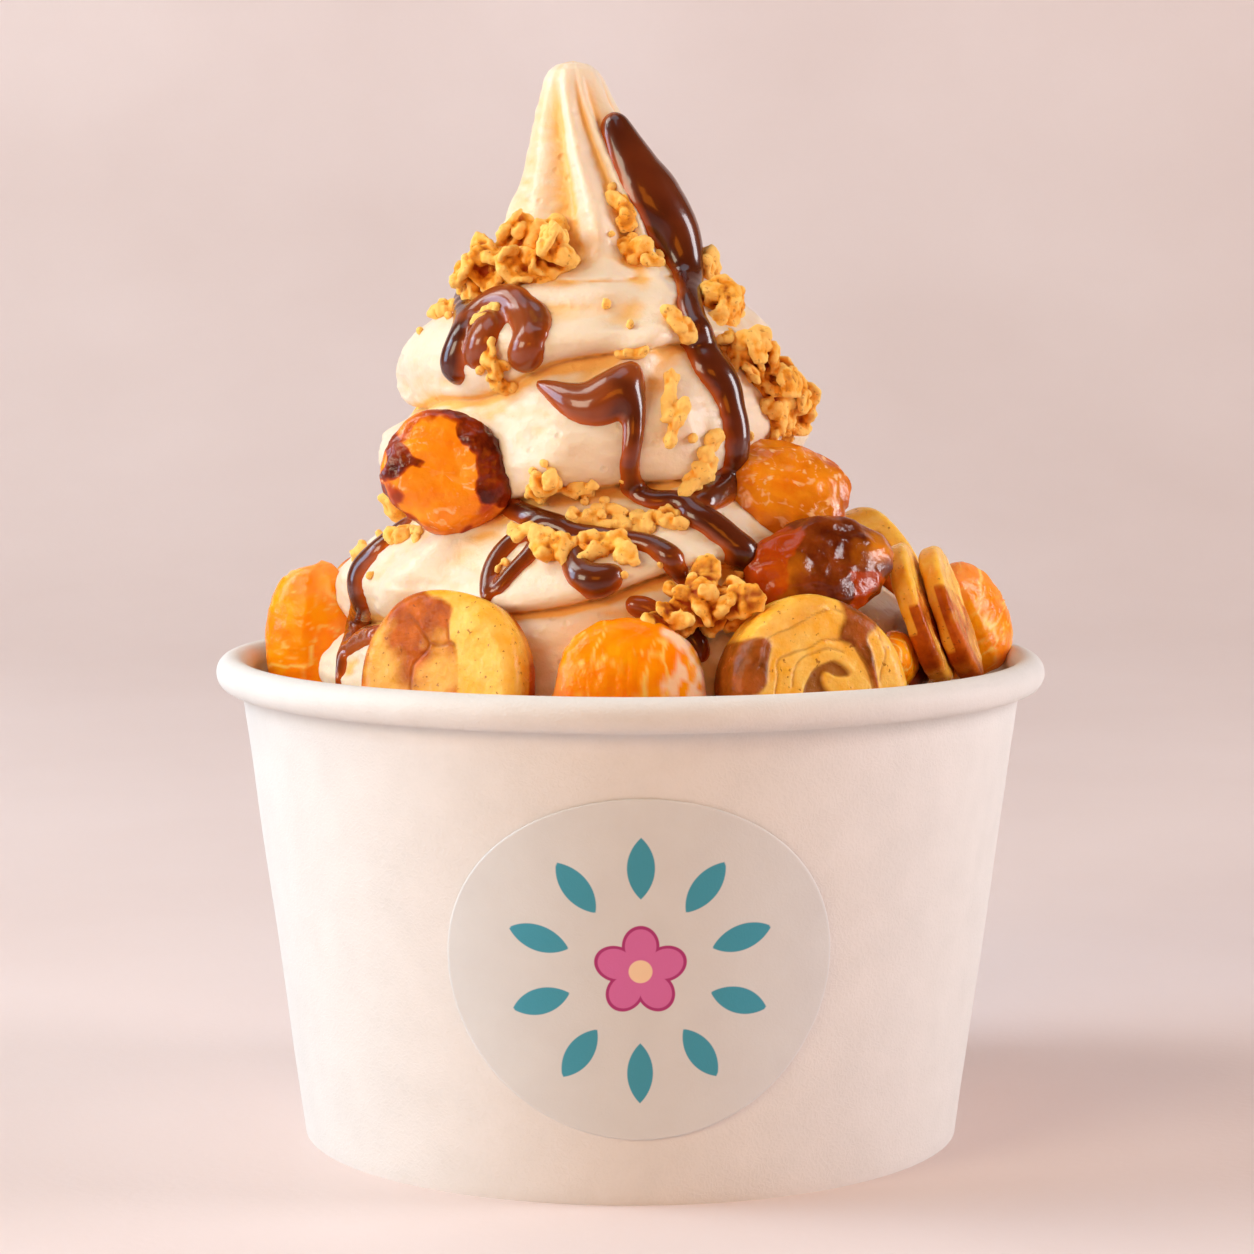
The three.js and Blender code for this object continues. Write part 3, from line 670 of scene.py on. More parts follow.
# where a crease is pulled up: azimuth, height, rise, half width in degrees, half height
LIFTS = [
    (0, 109, 1.7, 30, 6), (34, 107, 4.0, 20, 6), (24, 81, 5.0, 26, 7), (-42, 120, 2.6, 22, 3),
    (-75, 104, -1.2, 25, 6), (-35, 104, -2.2, 20, 5), (60, 96, 2.0, 25, 5), (150, 100, 2.2, 30, 6),
    (-140, 90, -2.0, 30, 6), (-40, 92, -1.6, 20, 5), (196, 84, 3.2, 20, 6),
    (118, 88, -3.0, 22, 6), (-112, 98, 2.4, 18, 5), (172, 112, 2.4, 22, 5), (100, 72, 2.6, 22, 6),
    (-150, 108, -2.0, 20, 5),
]
# where a coil stands out or is drawn in: azimuth, height, rise, half width, half height
LIPS = [
    (-14, 118.6, 3.0, 48, 2.4), (0, 123.4, -1.3, 60, 2.2), (-5, 111.5, 1.2, 40, 2.4),
    (-88, 100.4, -2.6, 36, 1.6), (-88, 110.5, 1.2, 34, 5.0), (-88, 115.6, 1.6, 30, 1.8),
    (-90, 91, -2.6, 30, 6), (-88, 104.2, -1.7, 34, 3.4), (-36, 94, -2.6, 18, 6),
    (170, 105, 1.8, 40, 2.4), (30, 84.0, 1.4, 25, 2.4), (78, 93.5, -3.0, 30, 3.5),
    (84, 99, -1.8, 25, 5), (140, 88, 1.6, 22, 3), (-140, 100, 1.8, 24, 3), (205, 78, 1.6, 24, 3),
]
# azimuths of the tip's ridges (1) and valleys (-1)
FLUTE_TURNS = [
    (-180, -1), (-152, 1), (-122, -1), (-92, 1), (-60, 0.8), (-31, -1), (-10, 1), (9, -0.8),
    (19, 0.2), (29, -0.7), (52, 0.9), (80, -1), (105, 1), (140, -0.8), (160, 0.8), (180, -1),
]
FLUTE_DEPTH = 0.13
TIP_HEIGHT = 149.7


def bump_of(azimuth, z, bump):
    at, height, rise, across, tall = bump
    away = np.mod(azimuth - at + 180, 360) - 180
    return rise * np.exp(-((away / across) ** 2) - ((z - height) / tall) ** 2)


def flute_of(azimuth):
    """1 on a ridge and -1 in a valley, eased between them."""
    rows = np.array(FLUTE_TURNS, float)
    at = np.mod(azimuth + 180, 360) - 180
    first = np.clip(np.searchsorted(rows[:, 0], at, side="right") - 1, 0, len(rows) - 2)
    share = (at - rows[first, 0]) / (rows[first + 1, 0] - rows[first, 0])
    share = share * share * (3 - 2 * share)
    return rows[first, 1] + (rows[first + 1, 1] - rows[first, 1]) * share


def swirl_axis(z):
    return -5 * ease(64, 96, z) + 0.9 * ease(104, 126, z) - 3.8 * ease(124, 150, z)


def turn_of(azimuth, z):
    angle = np.radians(azimuth)
    sink = (-0.4 * np.sin(angle) - 2.2 * (1 - np.cos(angle))) / COIL_PITCH
    lift = sum(bump_of(azimuth, z, bump) for bump in LIFTS)
    return table(CREASES, z - lift) - azimuth / 360 - sink


def crease_depth(azimuth, z):
    front = 0.5 + 0.5 * np.cos(np.radians(azimuth - 25))
    taper = 2.2 * ease(86, 106, z) + 2.6 * ease(113, 121, z) + 1.8 * ease(121, 127, z)
    return (6.6 - taper) * (1 - 0.24 * front)


def fold_rise(azimuth, z):
    rise = 0
    for from_a, from_z, to_a, to_z, width, high in FOLDS:
        per_degree = math.radians(FOLD_RADIUS)
        ahead = (np.mod(azimuth - from_a + 180, 360) - 180) * per_degree
        along = np.array([(to_a - from_a) * per_degree, to_z - from_z])
        up = z - from_z
        share = np.clip((ahead * along[0] + up * along[1]) / (along @ along), 0, 1)
        distance = np.hypot(ahead - share * along[0], up - share * along[1])
        rise = rise + high * np.exp(-((distance / width) ** 2))
    return rise


def coil_bulge(azimuth, z):
    """0 in a crease and 1 on the middle of a coil."""
    turn = turn_of(azimuth, z)
    side = ease(0.2, 1.0, np.abs(np.sin(np.radians(azimuth))))
    share = (turn - np.floor(turn)) ** (0.62 + 0.34 * side)
    return np.clip(1 - (2 * share - 1) ** 2, 0, 1) ** 0.66


def swirl_radius(azimuth, z):
    flat = table(OUTLINE, z) - crease_depth(azimuth, z) * (1 - coil_bulge(azimuth, z))
    fluted = ease(112, 128, z) * (1 - 0.8 * ease(141, 149, z))
    flute = flute_of(azimuth + 0.7 * (z - 140))
    lips = sum(bump_of(azimuth, z, lip) for lip in LIPS)
    return np.maximum(flat * (1 + FLUTE_DEPTH * fluted * flute) + fold_rise(azimuth, z) + lips, 0.2)


def swirl_point(azimuth, z):
    radius = swirl_radius(azimuth, z)
    angle = np.radians(azimuth)
    across = swirl_axis(z) + radius * np.sin(angle)
    return np.stack([across, -radius * np.cos(angle), z + 0 * across], -1)


print("swirl radius at the front, 100 mm up:", round(float(swirl_radius(0, 100.0)), 1))

# %% [markdown]
# ## Swirl mesh
# The rows of the grid close up towards the tip, where the shape turns fast. Each point is
# then pushed along its own outward direction by three noises: broad lumps, torn ripples where
# the cream was churned, and fine streaks. Under the rim the same skin goes on down to the
# disc, so the swirl is one closed body. A number from 0 to 1 is kept on each point for painted
# shade, highest deep in the creases, in the valleys of the tip and on the left side.

# %% Swirl mesh
SWIRL_SIDES = 320
SWIRL_FOOT, SWIRL_ROWS = 60, 260
CROWN_DEPTH, CROWN_ROWS = 9, 30
# radius and height of what is hidden in the cup, from the disc up to the swirl
BELOW = [
    (45.4, 6.3), (45.6, 8.0), (49.5, 40.0), (51.6, 55.5), (51.3, 57.2), (49.0, 58.4),
    (45.5, 58.9), (43.4, 59.3),
]


def swirl_grid():
    """Azimuth and height of every point over the rim."""
    azimuth = np.linspace(-180, 180, SWIRL_SIDES, endpoint=False)
    crown = TIP_HEIGHT - CROWN_DEPTH * np.linspace(1, 0.07, CROWN_ROWS) ** 2
    heights = np.concatenate([np.linspace(SWIRL_FOOT, crown[0] - 0.3, SWIRL_ROWS), crown])
    return np.meshgrid(azimuth, heights)


def whipped(points, azimuth, z):
    """The points with the relief of whipped cream, calmer near the tip."""
    outward = points - np.stack([swirl_axis(z), 0 * z, z], -1)
    outward /= np.linalg.norm(outward, axis=-1, keepdims=True)
    calm = ease(2, 10, swirl_radius(azimuth, z))
    lumps = 0.55 * noise(points, 11, 21) + 0.3 * noise(points * [1, 1, 1.4], 5.5, 22)
    warped = points + 1.5 * noise(points, 6, 26)[..., None]
    churned = ease(-0.1, 0.5, noise(points, 10, 25))
    ripples = 0.4 * churned * rough(warped * [0.6, 0.6, 1.4], 2.6, 24, 2)
    streaks = 0.14 * rough(points * [0.7, 0.7, 2.0], 2.0, 23)
    return points + outward * ((lumps + streaks + ripples) * calm)[..., None]


def cream_below():
    """Rows of points inside the cup, in the same order round as the swirl's."""
    wall = turned(BELOW, SWIRL_SIDES)
    around = np.degrees(np.arctan2(wall[0, :, 0], -wall[0, :, 1])) + 180
    wall = wall[:, np.argsort(np.mod(around, 360))]
    wall[..., 2] += 0.5 * noise(wall, 7, 31) * ease(50, 57, wall[..., 2])
    return wall


def crease_shade_of(every, quads, start, azimuth, z):
    """Painted shade at each point, from 0 to 1, most in creases and on the left; the swirl starts
    at a point.
    """
    # painted shade: a point that lies under its surroundings is painted darker
    crease = hollow_of(every, quads, 14) * 1.8 + hollow_of(every, quads, 60) * 0.55
    fluted = ease(114, 122, z)
    # painted shade in the creases between the coils, from the shape's own crease depth
    depth = (crease_depth(azimuth, z) + 1) * (1 - coil_bulge(azimuth, z)) / 8
    depth *= 0.55 + 0.45 * ease(72, 86, z)
    valley = ease(-0.1, 0.9, -flute_of(azimuth + 0.7 * (z - 140)))
    crease[:start] = 0.2
    # painted shade on the left side of the swirl and in the valleys of the tip
    left = ease(0.0, 1.0, -np.sin(np.radians(azimuth)))
    crease[start:-2] += depth * (1 - fluted) + (0.35 * valley + 0.2 * left) * fluted + 0.14 * left
    # the painted shade is strongest at the front and weaker at the sides
    crease[start:-2] *= 0.68 + 0.32 * np.cos(np.radians(azimuth))
    crease = np.clip(crease, 0, 1)
    crease[-1] = 0
    return crease


def swirl():
    azimuth, z = swirl_grid()
    wall = cream_below()
    rows = np.concatenate([wall, whipped(swirl_point(azimuth, z), azimuth, z)])
    ends = [[0, 0, BELOW[0][1]], [float(swirl_axis(TIP_HEIGHT)), 0, TIP_HEIGHT]]
    every = np.vstack([rows.reshape(-1, 3), ends])
    faces = tube_faces(len(rows), SWIRL_SIDES)
    piece = new_piece("yogurt_swirl", every, faces)
    quads = np.array(faces[:-2 * SWIRL_SIDES])
    start = len(wall) * SWIRL_SIDES
    paint(piece, "crease", crease_shade_of(every, quads, start, azimuth.ravel(), z.ravel()))
    return piece


yogurt = finish_piece(swirl(), "yogurt", "yogurt")

# %% [markdown]
# ## Yogurt finish
# Frozen yogurt is a pale, dense cream that lets a little light in, which is what subsurface
# scattering is for: without it the coils look like plaster. Its colour goes from cream on the
# open coils to an amber painted shade in the creases and on the left side, and its skin has
# pores in patches and a thin wet sheen.

# %% Yogurt finish
def yogurt_material():
    material, tree, shader = new_material("frozen_yogurt")
    soft = between(tree, grain(tree, 120, 3), 0.3, 0.7)
    cream = mixed(tree, soft, (0.80, 0.64, 0.46), (0.85, 0.71, 0.55))
    # painted shade: the cream turns amber where the crease number is high
    deep = between(tree, painted(tree, "crease"), 0.0, 0.68, 0.0, 0.93)
    colour = mixed(tree, deep, cream, (0.88, 0.48, 0.11))
    pores = add(tree, "ShaderNodeTexVoronoi", {"Scale": 420, "Vector": place_of(tree)})
    pit = between(tree, pores.outputs["Distance"], 0.0, 0.25, 0.0, 1.0)
    here = between(tree, grain(tree, 60, 2), 0.5, 0.62)
    filled = sum_of(tree, "SUBTRACT", 1.0, pit)
    pit = sum_of(tree, "SUBTRACT", 1.0, sum_of(tree, "MULTIPLY", here, filled))
    feed(tree, shader, {
        "Base Color": colour,
        "Roughness": between(tree, grain(tree, 900, 2), 0.3, 0.7, 0.33, 0.46),
        "Subsurface Weight": 0.3, "Subsurface Radius": (1.0, 0.5, 0.18),
        "Subsurface Scale": 0.003, "Specular IOR Level": 0.3,
        "Coat Weight": 0.12, "Coat Roughness": 0.1,
    })
    first = add(tree, "ShaderNodeBump", {"Height": pit, "Distance": 0.0005, "Strength": 0.6})
    skin = grain(tree, 520, 5, 0.62)
    bumped(tree, shader, skin, 0.0005, 0.5, first.outputs[0])
    return material


dress([yogurt], yogurt_material())

# %% [markdown]
# ## Things that lie on the yogurt
# Sauce and crumbs have to sit on the swirl and not float, so each is placed by sending a ray
# from the camera to the swirl: what is found is the point on the skin and the way it faces.
# A place is given across and down the camera's square frame, which is 1254 units wide. The
# same skin is found from the side for what lies at the back, by direction and height.

# %% Finding the skin
from mathutils.bvhtree import BVHTree
from mathutils.kdtree import KDTree

FRAME_UNITS = 1254
FOCAL_UNITS = FRAME_UNITS * camera_data.lens / camera_data.sensor_width
SKIN = BVHTree.FromPolygons(
    [v.co / MM for v in yogurt.data.vertices], [list(f.vertices) for f in yogurt.data.polygons]
)


def ray_of(across, down):
    x = (across - FRAME_UNITS / 2) / FOCAL_UNITS
    y = (FRAME_UNITS / 2 - down) / FOCAL_UNITS
    turn = Matrix.Rotation(math.pi / 2 - CAMERA_PITCH, 3, "X")
    return (turn @ Vector((x, y, -1))).normalized()


def seen_at(across, down):
    """Point and outward direction of the skin that the camera sees there, in mm."""
    start = CAMERA_PLACE / MM
    ray = ray_of(across, down)
    point, normal, _, _ = SKIN.ray_cast(start, ray)
    if point is None:
        near = SKIN.find_nearest(start + ray * 490)
        point, normal = near[0], near[1]
    if normal.dot(ray) > 0:
        normal = -normal
    return point, normal


def round_at(azimuth, height):
    """Point and outward direction of the skin in a direction from the middle."""
    angle = math.radians(azimuth)
    middle = Vector((float(swirl_axis(height)), 0, height))
    out = Vector((math.sin(angle), -math.cos(angle), 0))
    point, normal, _, _ = SKIN.ray_cast(middle + out * 90, -out)
    if normal.dot(out) < 0:
        normal = -normal
    return point, normal


def units_per_mm(point):
    return FOCAL_UNITS / (point - CAMERA_PLACE / MM).length


print("skin in the middle of the view:", [round(c, 1) for c in seen_at(627, 420)[0]])

# %% [markdown]
# ## Outlines on a face
# Burnt places, seams and layers on the fruit have outlines of their own. An outline is a few
# listed points whose corners are cut, and what a material needs from it is a distance:
# how far a place is from the line, or how deep it lies inside.

# %% Outlines on a face
def near_path(x, y, path, closed=False):
    """Distance from each place to an open or closed line through some points."""
    corners = np.array(path, float)
    after = np.roll(corners, -1, 0)
    nearest = np.full(np.shape(x), 9.0)
    for a, b in list(zip(corners, after))[:None if closed else -1]:
        along = b - a
        share = np.clip(((x - a[0]) * along[0] + (y - a[1]) * along[1]) / (along @ along), 0, 1)
        gap = np.hypot(x - a[0] - share * along[0], y - a[1] - share * along[1])
        nearest = np.minimum(nearest, gap)
    return nearest


def rounded(path, closed=False, rounds=2):
    """The same path with its corners cut twice, as if drawn by hand."""
    places = np.array(path, float)
    for _ in range(rounds):
        after = np.roll(places, -1, 0) if closed else places[1:]
        before = places if closed else places[:-1]
        cut = np.stack([0.75 * before + 0.25 * after, 0.25 * before + 0.75 * after], 1)
        cut = cut.reshape(-1, 2)
        places = cut if closed else np.vstack([places[:1], cut, places[-1:]])
    return [tuple(place) for place in places]


def inside(x, y, outline):
    """How deep each place lies inside a closed outline; less than 0 outside."""
    within = np.zeros(np.shape(x), bool)
    for (ax, ay), (bx, by) in zip(outline, outline[1:] + outline[:1]):
        if ay != by:
            within ^= ((ay > y) != (by > y)) & (x < ax + (y - ay) * (bx - ax) / (by - ay))
    return np.where(within, 1, -1) * near_path(x, y, outline, True)


print("middle of a square is", float(inside(0.5, 0.5, [(0, 0), (1, 0), (1, 1), (0, 1)])), "deep")

# %% [markdown]
# ## Melting shapes together
# A field holds, at each point of a small grid, how far that point is from the surface, less
# than 0 inside. Two fields join with a soft minimum, which fillets the seam as surface
# tension does. openvdb finds the zero skin, and a little smoothing takes out the grid's steps.

# %% Distance fields
class Field:
    FAR = 3.0

    def __init__(self, low, high, step):
        self.low = np.array(low, float)
        self.step = step
        count = np.ceil((np.array(high, float) - self.low) / step).astype(int) + 1
        self.values = np.full(count, self.FAR, np.float32)

    def block(self, low, high):
        first = np.floor((np.array(low) - self.low) / self.step).astype(int)
        last = np.ceil((np.array(high) - self.low) / self.step).astype(int) + 1
        first = np.clip(first, 0, self.values.shape)
        last = np.clip(last, 0, self.values.shape)
        where = tuple(slice(a, b) for a, b in zip(first, last))
        axes = [self.low[i] + self.step * np.arange(first[i], last[i]) for i in range(3)]
        return where, np.stack(np.meshgrid(*axes, indexing="ij"), -1)

    def join(self, where, distance, blend):
        old = self.values[where]
        if not old.size:
            return
        share = np.clip(0.5 + 0.5 * (old - distance) / blend, 0, 1)
        both = old + (distance - old) * share - blend * share * (1 - share)
        self.values[where] = np.minimum(both, self.FAR)

    def limb(self, a, b, radius_a, radius_b, blend):
        """A round bar between two points whose radius changes evenly."""
        a, b = np.array(a, float), np.array(b, float)
        reach = max(radius_a, radius_b) + self.FAR * 0.6
        where, at = self.block(np.minimum(a, b) - reach, np.maximum(a, b) + reach)
        line = b - a
        share = np.clip(((at - a) @ line) / max(line @ line, 1e-9), 0, 1)
        gap = np.linalg.norm(at - a - share[..., None] * line, axis=-1)
        self.join(where, gap - radius_a - (radius_b - radius_a) * share, blend)

    def nugget(self, middle, half, turn, blend, wobble, size, seed, square=2.0):
        """A lumpy ellipsoid with its own three half lengths and a turn."""
        reach = max(half) * 1.3 + self.FAR * 0.5
        where, at = self.block(np.array(middle) - reach, np.array(middle) + reach)
        if not at.size:
            return
        local = (at - np.array(middle)) @ np.array(turn)
        scaled = np.abs(local / np.array(half)) + 1e-6
        gap = (scaled**square).sum(-1) ** (1 / square)
        slope = ((scaled ** (square - 1) / np.array(half)) ** 2).sum(-1) ** 0.5
        distance = (gap - 1) * gap ** (square - 1) / (slope + 1e-6)
        distance = distance + wobble * rough(local + 40.0 * seed, size, seed, 2)
        self.join(where, distance, blend)

    def skin(self, name, smoothing, crackle=0.0):
        """A piece made of the field's zero skin, with its points and quads."""
        grid = vdb.FloatGrid()
        grid.background = self.FAR
        grid.copyFromArray(self.values)
        points, quads = grid.convertToQuads(0.0)
        points = np.array(points, float) * self.step + self.low
        quads = np.array(quads)
        pairs = edges_of(quads)
        for pull in (0.6, -0.3) * smoothing:
            points += pull * (smoothed(points, pairs, 1) - points)
        a, b, c = (points[quads[:, i]] for i in range(3))
        if np.einsum("ij,ij->", a, np.cross(b, c)) < 0:
            quads = quads[:, ::-1]
        if crackle:
            bumps = rough(points, 1.3, 5, 2) + 0.8 * np.abs(noise(points, 0.9, 6))
            points += facing(points, quads) * (crackle * bumps)[:, None]
        return new_piece(name, points, quads.tolist()), points, quads


print("a field starts", Field.FAR, "mm away everywhere")

# %% [markdown]
# ## Chocolate sauce
# Poured sauce is a row of rounded beads that run together: wide where it lands, narrow where
# it runs, and with a fat drop where it stopped. Each run is a chain of round bars whose
# middle is sunk under the skin, so that only a cap as wide as the run shows, and all runs
# melt into one field. A bevelled curve would show seams where the runs meet.

# %% Runs of sauce
# a run's thickness as a share of its width, and its least and most in mm
RUN_THICKNESS, RUN_THINNEST, RUN_THICKEST = 0.34, 0.75, 2.5
# across, down and width in frame units, from where each run starts
FRONT_RUNS = {
    "main": [
        (617, 124, 26), (618, 134, 32), (624, 150, 40), (634, 172, 51), (645, 194, 62),
        (660, 213, 60), (676, 232, 50), (682, 252, 42), (688, 272, 32), (689, 292, 29),
        (690, 309, 27), (697, 328, 29), (701, 346, 34), (709, 364, 40), (725, 386, 37),
        (731, 408, 30), (736, 428, 30), (736, 448, 32), (731, 470, 32), (722, 488, 34),
        (706, 500, 30),
    ],
    "main_lip": [(672, 206, 26), (688, 222, 20), (697, 238, 12)],
    "middle_blot": [
        (540, 385, 9), (550, 388, 16), (564, 395, 26), (579, 403, 40), (594, 405, 50),
        (611, 393, 48), (625, 380, 34), (632, 369, 16),
    ],
    "middle_trickle": [
        (622, 388, 38), (630, 404, 28), (634, 420, 20), (632, 446, 17), (629, 468, 18),
        (634, 490, 22), (650, 500, 22), (672, 500, 20), (690, 505, 22),
    ],
    "left_top": [
        (443, 268, 18), (454, 268, 24), (457, 284, 23), (462, 302, 25), (468, 318, 28),
        (461, 336, 28), (455, 352, 28), (452, 366, 29), (456, 374, 24),
    ],
    "left_arch": [
        (468, 322, 28), (482, 308, 30), (498, 300, 32), (514, 302, 32), (525, 318, 30),
        (529, 338, 30), (526, 352, 33), (523, 358, 33),
    ],
    "arch_side": [(532, 304, 14), (542, 316, 18), (542, 334, 14)],
    "arch_film": [(488, 322, 34), (484, 338, 34), (476, 356, 26)],
    "coin_run": [
        (497, 497, 14), (510, 506, 20), (524, 514, 22), (543, 520, 22), (562, 528, 24),
        (580, 536, 22), (600, 534, 18), (618, 538, 18), (640, 541, 20), (660, 548, 22),
        (672, 560, 22), (680, 574, 16), (682, 582, 10),
    ],
    "loop_left": [
        (540, 524, 20), (522, 534, 18), (506, 546, 18), (494, 562, 18), (488, 580, 17),
        (487, 598, 13),
    ],
    "loop_right": [(540, 540, 18), (528, 556, 16), (512, 572, 15), (498, 590, 15)],
    "bulb": [(572, 540, 22), (574, 560, 24), (582, 576, 30), (598, 580, 30), (612, 574, 24)],
    "right_band": [
        (690, 512, 26), (710, 522, 28), (728, 536, 28), (744, 552, 30), (752, 572, 26),
    ],
    "left_drip": [
        (408, 522, 14), (396, 534, 20), (380, 548, 24), (362, 566, 26), (357, 584, 26),
        (362, 602, 26), (358, 622, 22), (348, 644, 16), (341, 664, 15), (338, 686, 14),
    ],
    "drip_bulb": [(374, 634, 24), (362, 640, 26), (350, 648, 18)],
    "pool": [
        (634, 606, 18), (650, 612, 22), (668, 622, 20), (700, 616, 24), (724, 600, 26),
        (744, 604, 26),
    ],
    "pool_low": [(664, 640, 22), (690, 634, 24), (700, 652, 20)],
    "right_low": [(905, 650, 18), (920, 668, 30), (914, 680, 26)],
}
# direction, height and width in mm, for the runs behind
BACK_RUNS = {
    "right_side": [(128, 127, 4), (128, 120, 6.5), (122, 113, 6), (124, 106, 5), (118, 99, 5.5),
                   (108, 93, 6)],
    "behind": [(176, 120, 4), (188, 114, 6), (204, 110, 7), (212, 103, 5), (208, 96, 5)],
    "behind_low": [(150, 100, 4), (160, 93, 6), (172, 88, 5), (170, 80, 4.5), (176, 74, 5)],
}


def spread_evenly(places, step):
    """Points along a smooth line through the places, about a step apart."""
    places = np.array(places, float)
    if len(places) < 3:
        return places
    count = len(places)
    padded = np.vstack([2 * places[0] - places[1], places, 2 * places[-1] - places[-2]])
    fine = []
    for i in range(count - 1):
        a, b, c, d = padded[i:i + 4]
        for t in np.linspace(0, 1, 8, endpoint=False):
            fine.append(0.5 * (2 * b + (c - a) * t + (2 * a - 5 * b + 4 * c - d) * t**2
                               + (3 * b - a - 3 * c + d) * t**3))
    fine = np.array(fine + [places[-1]])
    run = np.concatenate([[0], np.cumsum(np.linalg.norm(np.diff(fine[:, :2], axis=0), axis=1))])
    at = np.linspace(0, run[-1], max(int(run[-1] / step), 2) + 1)
    return np.stack([np.interp(at, run, fine[:, i]) for i in range(fine.shape[1])], 1)


def pour(field, places, find, width_in_units, step):
    """Melts one run into the field. Its beads are sunk so that a cap of its width shows."""
    middles, radii = [], []
    for first, second, width in spread_evenly(places, step):
        point, normal = find(first, second)
        if width_in_units:
            width = width / units_per_mm(point)
        half = width / 2
        thick = min(max(width * RUN_THICKNESS, RUN_THINNEST), RUN_THICKEST)
        radius = (half * half + thick * thick) / (2 * thick)
        middles.append(np.array(point - normal * (radius - thick)))
        radii.append(radius)
    middles, radii = np.array(middles), np.array(radii)
    for _ in range(2):
        middles[1:-1] = 0.25 * middles[:-2] + 0.5 * middles[1:-1] + 0.25 * middles[2:]
    for i in range(len(middles) - 1):
        field.limb(middles[i], middles[i + 1], radii[i], radii[i + 1], 0.7)


MILKY_RUNS = ("middle_blot", "left_arch", "arch_film", "drip_bulb", "pool", "behind")


def sauce_colour(piece, points, quads, runs, find):
    """How thin the sauce is over the skin, and how milky the nearest run is."""
    thin = np.ones(len(points))
    tree = KDTree(sum(len(places) for places in runs.values()))
    milky = []
    for name, places in runs.items():
        for first, second, _ in places:
            tree.insert(find(first, second)[0], len(milky))
            milky.append(1.0 if name in MILKY_RUNS else 0.0)
    tree.balance()
    milk = np.zeros((len(points), 1))
    for i, place in enumerate(points):
        near = SKIN.find_nearest(Vector(place))
        thin[i] = (Vector(place) - near[0]).dot(near[1])
        milk[i] = milky[tree.find(place)[1]]
    paint(piece, "lift", thin)
    milk = smoothed(milk, edges_of(quads), 12)[:, 0]
    paint(piece, "milk", np.clip(milk + 0.35 * noise(points, 7, 88), 0, 1))


front_field = Field((-40, -46, 62), (42, 6, 144), 0.33)
for places in FRONT_RUNS.values():
    pour(front_field, places, seen_at, True, 6)
sauce_front, sauce_points, quads = front_field.skin("sauce_front", 3)
sauce_colour(sauce_front, sauce_points, quads, FRONT_RUNS, seen_at)
finish_piece(sauce_front, "sauce", "yogurt")

back_field = Field((-28, -14, 66), (32, 42, 134), 0.4)
for places in BACK_RUNS.values():
    pour(back_field, places, round_at, False, 1.2)
sauce_back, sauce_points, quads = back_field.skin("sauce_back", 3)
sauce_colour(sauce_back, sauce_points, quads, BACK_RUNS, round_at)
finish_piece(sauce_back, "sauce", "yogurt")

# %% [markdown]
# ## Sauce finish
# Chocolate sauce is nearly black where it is thick and red-brown where light gets through a
# thin film, and some of it has melted into the cream and turned milky. Both are numbers kept
# on the points. The hard gloss is a clear coat over a duller base, as on wet syrup.

# %% Sauce finish
def sauce_material():
    material, tree, shader = new_material("chocolate_sauce")
    thin = between(tree, painted(tree, "lift"), 0.1, 1.1, 1.0, 0.0)
    cloud = between(tree, grain(tree, 90, 3), 0.4, 0.66)
    dark = mixed(tree, cloud, (0.065, 0.008, 0.0015), (0.13, 0.020, 0.004))
    dark = mixed(tree, painted(tree, "milk"), dark, (0.27, 0.052, 0.009))
    colour = mixed(tree, thin, dark, (0.45, 0.08, 0.004))
    feed(tree, shader, {
        "Base Color": colour, "Roughness": 0.24, "Specular IOR Level": 0.25,
        "Coat Weight": 0.55, "Coat Roughness": 0.06,
        "Subsurface Weight": 0.15, "Subsurface Radius": (1.0, 0.25, 0.05),
        "Subsurface Scale": 0.0015,
    })
    bumped(tree, shader, grain(tree, 300, 2), 0.0002, 0.3)
    return material


dress([sauce_front, sauce_back], sauce_material())

# %% [markdown]
# ## Granola
# Baked oats clump into knobbly clusters: rounded nuggets a few millimetres long, stuck
# together with dry syrup and rough all over, golden with a painted highlight on the raised
# parts and a painted shade in the gaps. Each cluster is a field of lumpy ellipsoids; the loose
# flakes are fields of two or three of them. Dozens of separate flakes would cost more faces
# and still look like gravel, so they are melted.

# %% Granola clusters
NUGGET_SIZE = 2.15


def random_turn(draw):
    """A random rotation from three draws."""
    return np.array(Matrix.Rotation(draw.uniform(0, 6.28), 3, "Z")
                    @ Matrix.Rotation(draw.uniform(0, 3.14), 3, "X")
                    @ Matrix.Rotation(draw.uniform(0, 6.28), 3, "Z"))


def pose_of(lean, roll, turn):
    return (Matrix.Rotation(math.radians(turn), 3, "Z")
            @ Matrix.Rotation(math.radians(-lean), 3, "X")
            @ Matrix.Rotation(math.radians(roll), 3, "Y"))


def tone_of(points, middles, draw):
    """One random tone for each nugget, given to the points nearest to it."""
    gaps = np.linalg.norm(points[:, None] - np.array(middles)[None], axis=-1)
    return draw.uniform(-1, 1, len(middles))[gaps.argmin(1)]


def cluster_nuggets(place, turn, deep, lumps, count, draw):
    """Places of nuggets spread over a few round lumps, each thicker in its middle."""
    whole = sum(radius**2 for _, _, radius in lumps)
    nuggets = []
    for mid_x, mid_z, radius in lumps:
        share_of_all = max(round(count * radius**2 / whole), 3)
        for i in range(share_of_all):
            angle = i * 2.4 + mid_x
            share = math.sqrt((i + 0.3) / share_of_all) * draw.uniform(0.75, 1.1)
            x = mid_x + radius * share * math.cos(angle)
            z = mid_z + radius * share * math.sin(angle)
            y = -deep * (0.5 - 0.7 * share * share) + draw.uniform(-1.3, 1.0)
            nuggets.append(turn @ np.array([x, y, z]) + place)
    return nuggets


